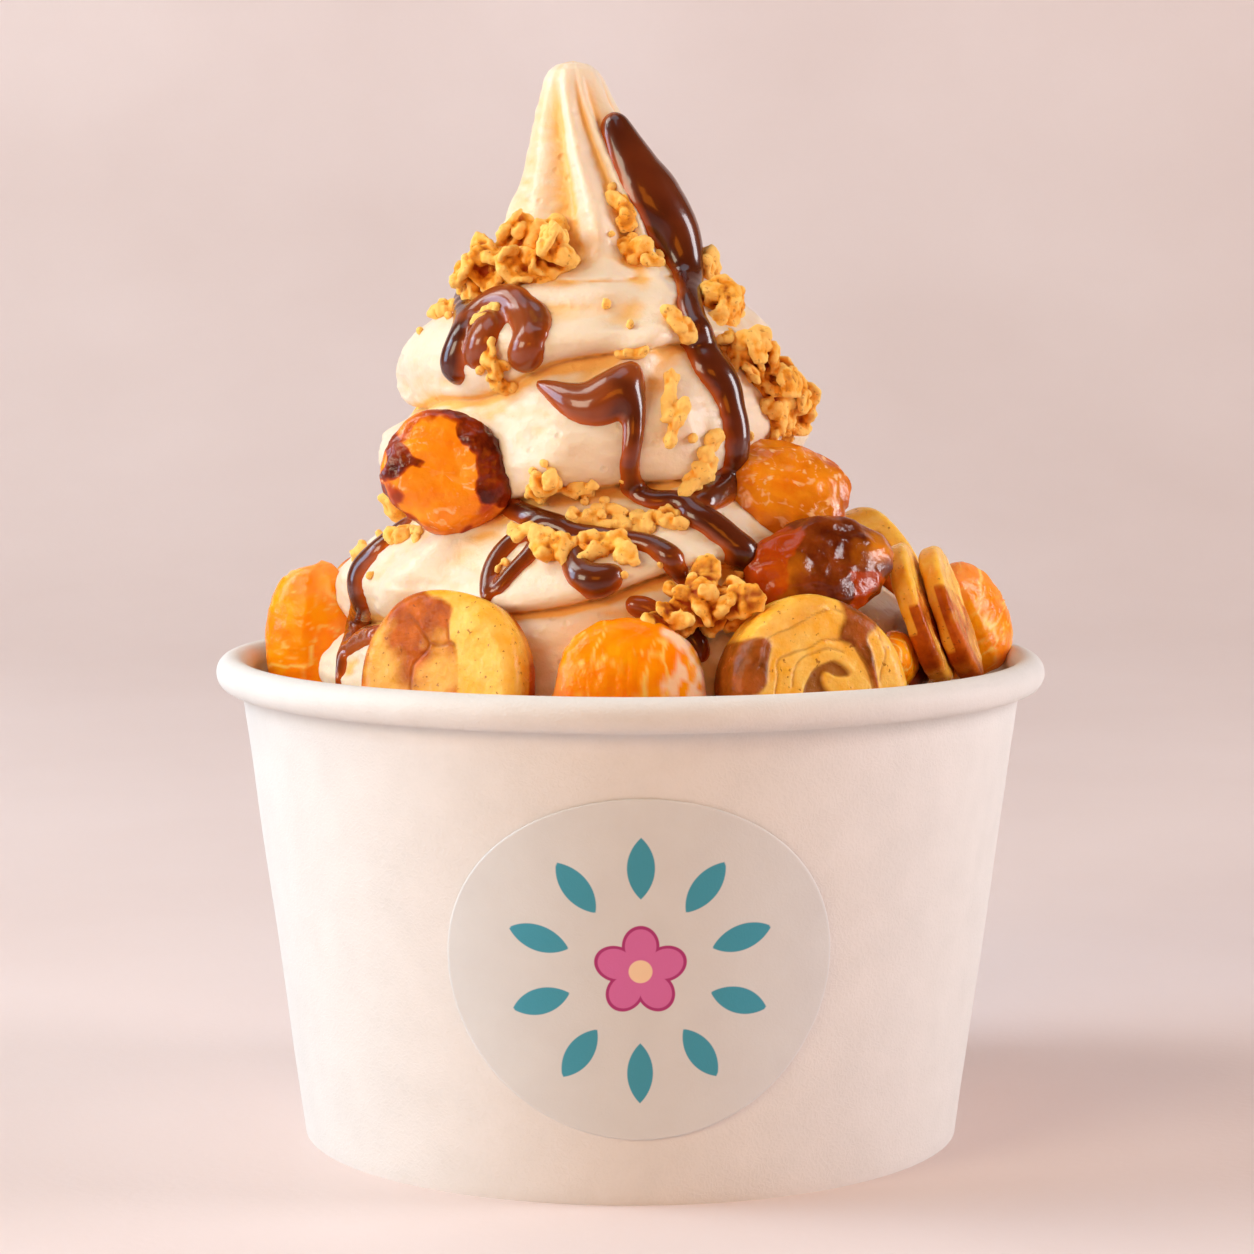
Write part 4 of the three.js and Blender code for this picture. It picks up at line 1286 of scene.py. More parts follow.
def cluster(name, place, pose, deep, lumps, count, seed, darker=0.0):
    draw = np.random.default_rng(seed)
    place = np.array(place)
    reach = max(math.hypot(x, z) + radius for x, z, radius in lumps) + 5
    field = Field(place - reach, place + reach, 0.3)
    turn = np.array(pose_of(*pose))
    for x, z, radius in lumps:
        core = place + turn @ np.array([x, 0.5, z])
        half = [radius * 0.66, deep * 0.4, radius * 0.66]
        field.nugget(core, half, turn, 0.4, 0.3, 2, seed)
    nuggets = cluster_nuggets(place, turn, deep, lumps, count, draw)
    lying = turn @ np.array(Matrix.Rotation(math.pi / 2, 3, "X"))
    for i, middle in enumerate(nuggets):
        if i % 3:
            half = np.array([1.35, 0.95, 0.36]) * NUGGET_SIZE * draw.uniform(0.55, 1.1)
            tilt = lying @ np.array(Matrix.Rotation(draw.uniform(-0.9, 0.9), 3, "X")
                                    @ Matrix.Rotation(draw.uniform(-0.9, 0.9), 3, "Y")
                                    @ Matrix.Rotation(draw.uniform(0, 6.28), 3, "Z"))
            field.nugget(middle, half, tilt, 0.1, 0.3, 1.1, seed + i, 2.4)
        else:
            half = np.array([0.95, 0.78, 0.66]) * NUGGET_SIZE * draw.uniform(0.45, 0.95)
            field.nugget(middle, half, random_turn(draw), 0.1, 0.42, 1.5, seed + i, 2.4)
    piece, points, quads = field.skin(name + "_clump", 1, 0.24)
    # painted shade: points deep between the nuggets are painted darker, over the oats' own toast
    toast_and_shade = hollow_of(points, quads, 8) * 1.9 + 0.3 * noise(points, 3.5, seed) + 0.28 + darker
    toast_and_shade = toast_and_shade + 0.2 * tone_of(points, nuggets, draw)
    paint(piece, "toast_and_shade", np.clip(toast_and_shade, 0, 1))
    return finish_piece(piece, "granola", name)


# place, pose, how far it stands out, its lumps (across, up, radius in mm), nuggets, seed
CLUSTERS = {
    "granola_upper_left": (
        (-15.4, -11, 121.2), (30, 8, -38), 7,
        [(0.6, 4.2, 3.4), (6.6, 3.0, 2.9), (-2.2, -0.4, 4.4), (-4.6, -4.4, 3.0), (2.4, -0.4, 4.0)],
        58, 11),
    "granola_right_high": (
        (11.9, -13.1, 115.0), (24, 20, 46), 4, [(0, 1.5, 3.0), (-1.2, -3.2, 2.6)], 18, 12, 0.15),
    "granola_right_low": (
        (18.3, -13.3, 104.6), (14, 24, 56), 6,
        [(-5.4, 3.6, 3.2), (-0.6, 0.8, 4.8), (5.0, -0.2, 4.2), (0.6, -3.8, 2.8)], 48, 13),
    "granola_front": (
        (8.6, -38.8, 78.2), (22, 0, 12), 5, [(0, 0.6, 4.0), (4.2, -0.8, 2.6), (-3.6, -1.8, 2.4)],
        24, 14, 0.25),
    "granola_back": (
        (-6, 25, 108), (24, 0, 184), 6, [(-3, 1.2, 4.4), (3.2, -0.8, 4.2), (0.5, -3.6, 2.8)],
        34, 15),
    "granola_back_right": (
        (20, 27, 88), (26, 0, 142), 5, [(-2, 0.8, 4.0), (3, -1.2, 3.4), (-1, -3.8, 2.4)], 28, 16),
}
granola = [cluster(name, *rest) for name, rest in CLUSTERS.items()]

# %% [markdown]
# ## Loose flakes
# Single bits of granola stick to the cream and the sauce. A crumbly bit is five small lumps
# and a long oat flake is two; each lies flat on the skin at its own slant, and crumbs are
# strewn round it by seeded draws. They share two fields, one in front and one behind, because
# a separate piece for each crumb would fill the list of pieces and show nothing more.

# %% Loose flakes
# across, down, length, width (frame units), slant from level in degrees, and whether it is
# a crumbly bit (0) or a long flake (1)
FLAKES = [
    (620, 211, 46, 22, -50, 0), (636, 255, 40, 28, 10, 0), (652, 264, 22, 16, -30, 0),
    (712, 269, 34, 20, -75, 0), (675, 325, 44, 26, -50, 0), (632, 355, 36, 15, 15, 0),
    (672, 412, 72, 24, -78, 1), (704, 456, 60, 22, 62, 0), (692, 486, 42, 26, 40, 1),
    (489, 321, 32, 24, 70, 0), (495, 363, 44, 22, -65, 0), (504, 385, 26, 17, -50, 0),
    (434, 288, 30, 24, 30, 0), (544, 482, 44, 28, 15, 0), (580, 487, 34, 24, 30, 0),
    (592, 521, 46, 17, -10, 0), (634, 527, 40, 15, -14, 0), (655, 519, 44, 18, 12, 0),
    (670, 524, 34, 16, -16, 0), (551, 551, 52, 34, -25, 0), (524, 536, 30, 22, 20, 0),
    (604, 547, 46, 32, 10, 0), (624, 555, 44, 28, -40, 0), (584, 562, 24, 18, 60, 0),
    (398, 540, 36, 22, 20, 0), (354, 545, 28, 20, -10, 0), (418, 532, 18, 12, 30, 0),
    (729, 566, 34, 20, -55, 0), (536, 490, 20, 14, 50, 0), (610, 512, 34, 14, -8, 0),
]
# direction, height, length and width in mm, slant
BACK_FLAKES = [
    (72, 121, 6, 4, 90), (130, 110, 6, 4, 40), (165, 118, 6, 4, 100), (198, 100, 6, 4, 20),
    (222, 108, 6.5, 4, 70), (-112, 101, 5, 3.4, 30), (-122, 112, 5, 3.5, 60), (100, 104, 6, 4, 10),
    (150, 84, 6, 4, 50), (188, 82, 6, 4, 15), (-150, 88, 6, 4, 80), (-98, 88, 5, 3.6, 20),
]


def flake(field, point, normal, length, width, slant, seed, kind=0):
    draw = np.random.default_rng(seed)
    across = Vector((0, 0, 1)).cross(normal).normalized()
    up = normal.cross(across)
    turn = math.radians(slant)
    along = across * math.cos(turn) + up * math.sin(turn)
    beside = normal.cross(along)
    basis = np.array([along, beside, normal]).T
    thick = min(max(width * 0.4, 0.9), 1.7)
    bits = 2 if kind else 5
    for i in range(bits):
        share = (i + 0.5) / bits - 0.5
        side = draw.uniform(-0.26, 0.26) * width * (0 if kind else 1)
        middle = np.array(point + along * share * length * 0.78 + beside * side
                          + normal * (thick * draw.uniform(0.25, 0.65)))
        half = [length * (0.4 if kind else draw.uniform(0.16, 0.27)),
                width * 0.44 * draw.uniform(0.6, 1.05), thick * draw.uniform(0.4, 0.8)]
        tilt = basis @ np.array(Matrix.Rotation(draw.uniform(-0.7, 0.7), 3, "X")
                                @ Matrix.Rotation(draw.uniform(-0.5, 0.5), 3, "Y")
                                @ Matrix.Rotation(draw.uniform(-0.6, 0.6), 3, "Z"))
        field.nugget(middle, half, tilt, 0.08, 0.42, 1.4, seed + i, 3.2)


def crumb(field, point, normal, seed):
    draw = np.random.default_rng(seed)
    half = draw.uniform(0.4, 0.75, 3)
    middle = np.array(point + normal * 0.2)
    field.nugget(middle, half, random_turn(draw), 0.1, 0.15, 0.9, seed, 2.4)


def loose_granola():
    draw = np.random.default_rng(300)
    front = Field((-42, -48, 66), (26, -2, 136), 0.3)
    front_at, back_at = [], []
    for i, (across, down, length, width, slant, kind) in enumerate(FLAKES):
        point, normal = seen_at(across, down)
        scale = units_per_mm(point)
        flake(front, point, normal, length / scale, width / scale, slant, 100 + i, kind)
        front_at.append(np.array(point))
        for j in range(2):
            away = draw.normal(0, 26, 2)
            crumb(front, *seen_at(across + away[0], down + away[1]), 400 + 2 * i + j)
    back = Field((-42, -30, 70), (42, 42, 134), 0.4)
    for i, (azimuth, height, length, width, slant) in enumerate(BACK_FLAKES):
        point, normal = round_at(azimuth, height)
        flake(back, point, normal, length, width, slant, 200 + i)
        back_at.append(np.array(point))
    made = []
    for name, field, middles in (("crumbs_front", front, front_at), ("crumbs_back", back, back_at)):
        piece, points, quads = field.skin(name, 1, 0.22)
        # painted shade: points deep between the bits are painted darker, over the oats' own toast
        toast_and_shade = hollow_of(points, quads, 8) * 1.9 + 0.35 * noise(points, 4, 77) + 0.22
        toast_and_shade = toast_and_shade + 0.22 * tone_of(points, middles, draw)
        paint(piece, "toast_and_shade", np.clip(toast_and_shade, 0, 1))
        made.append(finish_piece(piece, "granola", "yogurt"))
    return made


granola += loose_granola()

# %% [markdown]
# ## Granola finish
# The number kept on the points is mostly how deep a place lies, with some of each nugget's own
# toast and a little noise, so the same finish paints a pale gold highlight on the raised edges
# and a dark brown shade between the nuggets, with specks of bran and a rough, dusty surface.

# %% Granola finish
def granola_material():
    material, tree, shader = new_material("baked_granola")
    spots = between(tree, grain(tree, 420, 4, 0.6), 0.38, 0.66)
    gold = mixed(tree, spots, (0.84, 0.29, 0.010), (1.0, 0.50, 0.065))
    toast_and_shade = painted(tree, "toast_and_shade")
    # painted highlight: the raised places turn pale gold
    gold = mixed(tree, between(tree, toast_and_shade, 0.0, 0.32, 0.7, 0), gold, (1.0, 0.67, 0.20))
    # painted shade: the gaps between the nuggets turn dark brown
    colour = mixed(tree, between(tree, toast_and_shade, 0.3, 0.85, 0, 1), gold, (0.33, 0.042, 0.001))
    specks = between(tree, grain(tree, 1500, 2), 0.62, 0.72, 0, 0.5)
    colour = mixed(tree, specks, colour, (0.3, 0.07, 0.004))
    feed(tree, shader, {
        "Base Color": colour, "Roughness": between(tree, spots, 0, 1, 0.6, 0.42),
        "Specular IOR Level": 0.12, "Subsurface Weight": 0.15,
        "Subsurface Radius": (1.0, 0.5, 0.2), "Subsurface Scale": 0.001,
    })
    bumped(tree, shader, grain(tree, 1300, 5, 0.65), 0.0004, 0.7)
    return material


dress(granola, granola_material())

# %% [markdown]
# ## Mandarin segments
# A peeled segment is a half moon: thick and round on its outer side, thin at its inner edge.
# Under the skin lie juice sacs, long drops that all point to the inner edge, and pale threads
# run over them. The half moon is lofted from sections, and the sacs are low relief.

# %% Mandarin mesh
def half_moon(length, depth, thickness, seed):
    """Points of a segment in its own frame, with how pale each point is."""
    stations, around = 96, 72
    at = (np.arange(1, stations) / stations - 0.5) * np.pi
    angle = np.linspace(0, 2 * np.pi, around, endpoint=False)
    at, angle = np.meshgrid(at, angle, indexing="ij")
    tall = depth * np.cos(at) ** 0.75
    thick = thickness / 2 * np.cos(at) ** 0.5
    up = np.cos(angle)
    lift = np.where(up > 0, up * tall * 0.6, up * tall * 0.4)
    blunt = np.sqrt(np.clip(1 - np.maximum(up, 0) ** 2.6, 0, 1))
    keen = (1 - up**2) ** 0.5 * (1 + 0.45 * up)
    across = np.sign(np.sin(angle)) * np.where(up > 0, blunt, keen) * thick
    x = length / 2 * np.sin(at) * (1 - 0.04 * up)
    points = np.stack([x, -across, lift - depth * 0.1], -1)
    centre = np.array([0, 0, -depth * 0.55])
    reach = np.linalg.norm(points[..., [0, 2]] - centre[[0, 2]], axis=-1)
    ray = np.arctan2(points[..., 0], points[..., 2] - centre[2])
    sacs = np.stack([ray * 9, points[..., 1] * 0.45, reach * 0.42], -1)
    wave = noise(sacs + seed * 7, 1.0, seed)
    fine = noise(sacs * 2.1 + seed, 1.0, seed + 1)
    out = points - np.array([0, 0, -depth * 0.1])
    out = out / (np.linalg.norm(out, axis=-1, keepdims=True) + 1e-6)
    relief = 0.26 * np.abs(wave) + 0.10 * fine + 0.35 * noise(points, 6, seed + 2)
    points = points + out * ((relief - 0.12) * np.cos(at) ** 0.3)[..., None]
    curled = points + 1.4 * np.stack([noise(points, 3.5, seed + 11 + i) for i in range(3)], -1)
    thread = 1 - ease(0.01, 0.06, np.abs(noise(curled * [1, 0.5, 0.7], 3.0, seed + 4)))
    hair = 1 - ease(0.0, 0.06, np.abs(noise(curled * [1, 0.5, 0.5], 1.7, seed + 6)))
    thread = thread * ease(-0.35, 0.2, noise(points, 4.5, seed + 5))
    thread = np.maximum(thread, 0.8 * hair * ease(-0.1, 0.3, noise(points, 3.5, seed + 7)))
    edge = points[..., 0] / (length / 2) + 0.25 * noise(points, 2.2, seed + 12)
    peel = ease(0.42, 0.62, edge) * ease(-0.5, 0.1, noise(points, 1.1, seed + 13))
    return points, thread, up, peel


def mandarin(name, place, pose, length, depth, thickness, seed, pithy=0.1):
    points, thread, up, peel = half_moon(length, depth, thickness, seed)
    turn = np.array(pose_of(*pose))
    ends = np.array([[-length / 2, 0, -depth * 0.1], [length / 2, 0, -depth * 0.1]])
    every = np.vstack([points.reshape(-1, 3), ends])
    pith = ease(0.6, 1.1, -up + 0.3 * noise(points, 2.4, seed + 8)) * 0.2
    along = np.abs(points[..., 0]) / (length / 2)
    rim = ease(0.72, 1.0, along + 0.2 * noise(points, 1.6, seed + 9))
    pale = np.maximum(np.maximum(pith, 0.15 * rim), peel * pithy)
    pale = np.append(np.clip(pale, 0, 1).ravel(), [0.2, 0.2])
    piece = new_piece(name + "_segment", every @ turn.T + np.array(place),
                      tube_faces(points.shape[0], points.shape[1]))
    paint(piece, "thread", np.append(thread.ravel(), [0, 0]))
    paint(piece, "pith", pale)
    return finish_piece(piece, "mandarin", name)


# place, pose, length, depth and thickness in mm, seed, and how white its peeled end is
MANDARINS = {
    "mandarin_front": ((0, -43.5, 68.5), (6, 2, 0), 20, 17.4, 10, 1, 1.0),
    "mandarin_left": ((-45.4, 5, 69.2), (0, -88, -18), 22, 13, 9, 2),
    "mandarin_right": ((46.2, 5, 71.4), (0, -118, 18), 16, 15.5, 9, 3),
    "mandarin_right_low": ((35.4, -22.8, 69.3), (4, 12, 72), 11, 8, 5, 4),
    "mandarin_back_left": ((-23.5, 38.5, 67), (8, 6, -149), 21, 15, 9, 5),
    "mandarin_back_right": ((24, 38, 67.5), (4, -8, 148), 21, 15, 9, 6),
}
mandarins = [mandarin(name, *rest) for name, rest in MANDARINS.items()]

# %% [markdown]
# ## Mandarin finish
# The flesh is wet and glows from inside, so it scatters light a little way and has a smooth
# skin. Threads and pith are painted on the points, and mixed over the orange as paler tones.
# A strong gloss would wash the orange out, so the specular level is low.

# %% Mandarin finish
def mandarin_material():
    material, tree, shader = new_material("mandarin_flesh")
    depth = between(tree, grain(tree, 260, 3), 0.35, 0.65)
    flesh = mixed(tree, depth, (1.0, 0.235, 0.0005), (1.0, 0.36, 0.002))
    colour = mixed(tree, between(tree, painted(tree, "thread"), 0, 1, 0, 0.8), flesh,
                   (1.0, 0.68, 0.16))
    colour = mixed(tree, painted(tree, "pith"), colour, (1.0, 0.64, 0.42))
    feed(tree, shader, {
        "Base Color": colour, "Roughness": between(tree, depth, 0, 1, 0.16, 0.26),
        "Specular IOR Level": 0.16, "Subsurface Weight": 0.5,
        "Subsurface Radius": (1.0, 0.3, 0.03), "Subsurface Scale": 0.0009,
    })
    bumped(tree, shader, grain(tree, 900, 3, 0.5), 0.0003, 0.5)
    return material


dress(mandarins, mandarin_material())

# %% [markdown]
# ## Banana slices
# A slice of fried banana is a soft disc: three lobes meet at a seam in its middle, its face is
# browned in patches, and a paler rind of flesh runs round it. The disc is a polar grid with a
# rounded edge; lobes, patches and rind are painted on its points and pressed into its faces.

# %% Banana mesh
def slice_grid(radius, thickness, uneven, phase, fine):
    """Points of a disc that faces -Y, with the share of its radius at each point."""
    rings, sides = (46, 160) if fine else (26, 108)
    half = thickness / 2
    edge = min(half * 0.62, radius * 0.26)
    face = np.linspace(0.012, 1 - edge / radius, rings)
    bend = np.radians(np.linspace(4, 90, 9))
    flat_to_side = [(1 - edge / radius * (1 - math.sin(b)), 1 - edge / half * (1 - math.cos(b)))
                    for b in bend]
    profile = [(f, 1.0) for f in face] + flat_to_side
    side = [(1.0, t) for t in np.linspace(0.3, -0.3, 5)]
    profile = profile + side + [(r, -d) for r, d in reversed(profile)]
    angle = np.linspace(0, 2 * np.pi, sides, endpoint=False)
    waves = np.cos(2 * angle + phase) + 0.5 * np.cos(5 * angle + 2 * phase)
    swell = 1 + uneven * waves
    share = np.array([r for r, _ in profile])[:, None]
    depth = np.array([d for _, d in profile])[:, None] + 0 * angle
    x = share * radius * swell * np.cos(angle)
    z = share * radius * swell * np.sin(angle)
    return np.stack([x, -depth * half, z], -1), share + 0 * angle, depth


def put_slice(name, slot, points, place, pose, marks):
    turn = np.array(pose_of(*pose))
    ends = np.stack([points[0].mean(0), points[-1].mean(0)])
    every = np.vstack([points.reshape(-1, 3), ends])
    piece = new_piece(name + "_slice", every @ turn.T + np.array(place),
                      tube_faces(points.shape[0], points.shape[1]))
    for mark, values in marks.items():
        paint(piece, mark, np.append(values.ravel(), [values[0, 0], values[-1, 0]]))
    return finish_piece(piece, slot, name)


# paths and outlines on a slice's face, in shares of its radius
SEAMS = [
    [(-0.37, 0.68), (-0.24, 0.48), (-0.13, 0.34), (-0.12, 0.28), (-0.26, 0.15), (-0.31, 0.06),
     (-0.3, -0.2)],
    [(-0.13, 0.34), (0.0, 0.3), (0.13, 0.34), (0.22, 0.33)], [(0.05, 0.58), (0.13, 0.36)],
]
PALE_SIDE = rounded([
    (-0.5, 1.2), (-0.33, 0.92), (0.07, 0.78), (0.11, 0.74), (0.09, 0.58), (0.13, 0.38),
    (0.23, 0.31), (0.25, 0.05), (0.29, -0.2), (0.3, -1.2), (1.3, -1.2), (1.3, 1.2),
], True)


def banana(name, place, pose, radius, thickness, phase, mirror=1, spin=0, fine=False):
    """A slice that is browned on one side of its face and pale on the other."""
    points, share, depth = slice_grid(radius, thickness, 0.03, phase, fine)
    wave = np.stack([noise(points, 2.6, int(phase) + 40 + i) for i in range(2)], -1) * 0.06
    turn = math.radians(spin)
    x = mirror * np.sign(depth + 1e-6) * points[..., 0] / radius + wave[..., 0]
    z = points[..., 2] / radius + wave[..., 1]
    x, z = x * math.cos(turn) + z * math.sin(turn), z * math.cos(turn) - x * math.sin(turn)
    front = ease(0.2, 0.9, np.abs(depth))
    gap = np.min([near_path(x, z, rounded(path)) for path in SEAMS], 0)
    seam = (1 - ease(0.0, 0.03, gap)) * front
    pale = ease(-0.03, 0.03, inside(x, z, PALE_SIDE))
    fried = 0.5 + 0.7 * rough(points, 4.5, int(phase) + 60) + 0.35 * (1 - ease(0, 0.25, gap))
    fried = fried + 0.3 * ease(0.7, 1.0, share)
    browned = (1 - pale) * np.clip(fried + 0.1, 0.35, 1)
    browned = np.maximum(browned, 0.3 * ease(0.3, 0.9, noise(points, 3, int(phase) + 62)))
    border = 1 - ease(0.0, 0.02, np.abs(inside(x, z, PALE_SIDE)))
    relief = 0.1 * (1 - pale) - 0.16 * seam + 0.2 * pale * ease(0.5, 0.8, share) * (1 - share)
    relief = relief + 0.18 * rough(points, 3, int(phase) + 50)
    points[..., 1] += -np.sign(depth) * front * relief
    round_out = 1 + 0.012 * noise(points, 3, int(phase) + 51)
    points[..., 0] *= round_out
    points[..., 2] *= round_out
    rind = 1 - front * (1 - ease(0.86, 0.98, share))
    seam = np.clip(0.6 * seam + 0.25 * border * front, 0, 1)
    marks = {"brown": browned, "seam": seam, "skin": rind, "syrup": 0 * browned}
    return put_slice(name, "banana", points, place, pose, marks)


# outlines on the rolled slice
STRIP = rounded([
    (-0.9, 0.3), (-0.81, 0.55), (-0.6, 0.75), (-0.38, 0.9), (0.0, 1.2), (0.09, 1.2), (0.1, 0.86),
    (0.03, 0.84), (-0.31, 0.7), (-0.63, 0.55), (-0.72, 0.3),
], True)
HEART = rounded([
    (-0.19, 0.21), (0.03, 0.33), (0.18, 0.32), (0.32, 0.18), (0.15, 0.15), (0.0, 0.23),
    (-0.04, 0.1), (0.14, -0.1), (0.2, -0.24), (-0.1, -0.3), (-0.3, -0.12),
], True)
SYRUP_PATCHES = [
    [(0.26, 1.2), (0.26, 0.92), (0.27, 0.74), (0.16, 0.58), (0.29, 0.45), (0.37, 0.43),
     (0.46, 0.3), (0.52, 0.0), (0.6, 0.0), (0.57, 0.4), (0.5, 0.58), (0.69, 0.62),
     (0.64, 0.74), (0.5, 1.2)],
    [(-0.7, 0.6), (-0.51, 0.51), (-0.63, 0.3), (-0.68, 0.0), (-1.2, 0.0), (-1.2, 0.6)],
]
LAYER_LINES = [
    [(-0.56, -0.2), (-0.55, 0.12), (-0.5, 0.36), (-0.23, 0.45), (0.16, 0.56), (0.29, 0.51),
     (0.44, 0.36), (0.52, 0.1), (0.5, -0.2), (0.35, -0.45), (0, -0.58), (-0.3, -0.5)],
    [(-0.36, 0.1), (-0.31, 0.34), (-0.12, 0.41), (0.11, 0.46), (0.25, 0.4)],
    [(-0.74, 0.3), (-0.63, 0.55), (-0.31, 0.7), (0.03, 0.84), (0.25, 0.8)],
    [(0.62, 0.1), (0.72, 0.4), (0.66, 0.6)],
]


def banana_roll(name, place, pose, radius, thickness, phase):
    """The slice whose flesh curls like a scroll round a dark heart."""
    points, share, depth = slice_grid(radius, thickness, 0.02, phase, True)
    wave = np.stack([noise(points, 2.2, 71 + i) for i in range(2)], -1) * 0.025
    x = points[..., 0] / radius + wave[..., 0]
    z = points[..., 2] / radius + wave[..., 1]
    front = ease(0.2, 0.9, np.abs(depth))
    gap = np.min([near_path(x, z, rounded(path)) for path in LAYER_LINES], 0)
    line = (1 - ease(0.0, 0.025, gap)) * front
    heart = ease(-0.02, 0.02, inside(x, z, HEART)) * front
    strip = ease(-0.02, 0.02, inside(x, z, STRIP))
    syrup = [ease(-0.02, 0.03, inside(x, z, rounded(patch, True))) for patch in SYRUP_PATCHES]
    syrup = np.max(syrup, 0)
    ripple = np.sin(share * 34 + 2 * noise(points, 4, 75)) * (1 - strip)
    relief = 0.45 * strip - 0.18 * line - 0.6 * heart + 0.3 * syrup + 0.03 * ripple
    relief = relief + 0.14 * rough(points, 3, 73)
    points[..., 1] += -np.sign(depth) * front * relief
    layer = inside(x, z, rounded(LAYER_LINES[0] + LAYER_LINES[0][:1], True))
    brown = 0.84 + 0.25 * noise(points, 3.5, 76) + 0.1 * ripple + 0.2 * ease(0.25, 0.0, layer)
    brown = np.where(strip > 0.5, 0.18 + 0.18 * noise(points, 2, 77), brown)
    marks = {"brown": np.clip(brown, 0, 1), "seam": np.clip(0.55 * line + heart, 0, 1),
             "skin": 1 - front * (1 - ease(0.86, 0.97, share)), "syrup": syrup}
    return put_slice(name, "banana", points, place, pose, marks)


bananas = [
    banana("banana_left", (-23.4, -39.8, 68.8), (14, 0, -26), 11.5, 7.5, 1.0, fine=True),
    banana_roll("banana_roll", (23.4, -39.5, 66.5), (12, 0, 24), 12.8, 8, 2.0),
    banana("banana_edge_near", (39, -17, 75), (20, 0, 80), 9.6, 2.8, 3.0, 1, 60),
    banana("banana_edge_far", (43.6, -11.5, 74.5), (20, 0, 80), 9.4, 2.8, 4.0, -1, 100),
    banana("banana_back_right", (35.4, 17.8, 77.6), (22, 0, 116), 9.8, 6, 5.0, -1, 20),
    banana("banana_back_middle", (0.4, 43.5, 68.5), (16, 0, 179), 10.8, 7, 6.0, 1, -30),
    banana("banana_back_left", (-39.5, 20.5, 71), (20, 0, -117), 9.8, 6, 7.0, -1, -50),
]

# %% [markdown]
# ## Banana finish
# Fried banana is cream where the pan missed it, red-brown where it caught, and almost black
# where syrup set. One finish serves every slice: the four numbers kept on the points say
# where each tone goes, and the same patches of noise break up all of them.

# %% Banana finish
def banana_material():
    material, tree, shader = new_material("fried_banana")
    patch = between(tree, grain(tree, 300, 4, 0.6), 0.35, 0.65)
    cream = mixed(tree, patch, (0.93, 0.46, 0.05), (0.98, 0.62, 0.15))
    rind = mixed(tree, patch, (0.90, 0.40, 0.02), (0.98, 0.57, 0.09))
    colour = mixed(tree, painted(tree, "skin"), cream, rind)
    brown = mixed(tree, patch, (0.34, 0.042, 0.001), (0.64, 0.13, 0.003))
    colour = mixed(tree, between(tree, painted(tree, "brown"), 0.1, 1.0, 0, 0.95), colour, brown)
    colour = mixed(tree, between(tree, painted(tree, "seam"), 0.1, 1, 0, 0.8), colour,
                   (0.22, 0.028, 0.001))
    syrup = painted(tree, "syrup")
    colour = mixed(tree, between(tree, syrup, 0, 1, 0, 0.9), colour,
                   mixed(tree, patch, (0.12, 0.010, 0.001), (0.38, 0.052, 0.002)))
    specks = between(tree, grain(tree, 1400, 2), 0.66, 0.72, 0, 0.7)
    colour = mixed(tree, specks, colour, (0.25, 0.05, 0.004))
    feed(tree, shader, {
        "Base Color": colour, "Roughness": between(tree, patch, 0, 1, 0.16, 0.3),
        "Specular IOR Level": 0.14, "Subsurface Weight": 0.3,
        "Subsurface Radius": (1.0, 0.4, 0.04), "Subsurface Scale": 0.002,
    })
    bumped(tree, shader, grain(tree, 900, 4, 0.6), 0.0003, 0.6)
    return material


dress(bananas, banana_material())

# %% [markdown]
# ## Glazed fruit coins
# Thick coins of fruit were cooked in sugar until they turned to amber: their middles glow,
# their edges burnt dark, and the syrup wrinkled as it set. Each is a pillow, a disc blown up
# towards a ball, pushed in and out by noise, under a hard clear glaze.

# %% Coin mesh
def pillow(radius, height, thickness, flat, seed, fine):
    """A blown-up disc that faces -Y; flat near 1 makes a ball and near 0 a coin."""
    rows, columns = (90, 140) if fine else (68, 104)
    tilt = np.linspace(0, np.pi, rows + 2)[1:-1]
    angle = np.linspace(0, 2 * np.pi, columns, endpoint=False)
    tilt, angle = np.meshgrid(tilt, angle, indexing="ij")
    share = np.sin(tilt) ** (0.45 + 0.55 * flat)
    depth = np.sign(np.cos(tilt)) * np.abs(np.cos(tilt)) ** (0.6 + 0.4 * flat)
    waves = 1 + 0.04 * np.cos(2 * angle + seed) + 0.02 * np.cos(5 * angle + 2 * seed)
    x = radius * share * waves * np.cos(angle)
    z = height * share * waves * np.sin(angle)
    return np.stack([x, -depth * thickness / 2, z], -1), share, depth


# burnt places on the left coin's face, in shares of its radius
BURNT = [
    [(-0.85, 0.7), (-0.64, 0.62), (-0.61, 0.46), (-0.48, 0.28), (-0.32, 0.17), (-0.32, 0.07),
     (-0.51, 0.07), (-0.57, -0.03), (-0.69, -0.13), (-0.88, -0.13), (-1.1, -0.05), (-0.86, 0.07),
     (-0.88, 0.31), (-1.1, 0.45)],
    [(0.2, 0.85), (0.5, 0.95), (1.1, 0.5), (1.2, -0.3), (0.95, -0.6), (0.79, -0.56),
     (0.61, -0.46), (0.5, -0.27), (0.52, -0.03), (0.47, 0.17), (0.49, 0.31), (0.41, 0.43),
     (0.26, 0.48), (0.16, 0.58)],
    [(-0.2, 1.2), (-0.1, 0.9), (0.2, 0.88), (0.6, 0.7), (0.9, 1.2)],
    [(-1.2, -0.15), (-0.93, -0.15), (-0.82, -0.45), (-0.7, -0.62), (-0.9, -0.8), (-1.2, -0.5)],
    [(0.22, -0.95), (0.3, -0.86), (0.47, -0.78), (0.5, -0.82), (0.34, -0.92), (0.26, -1.1)],
]
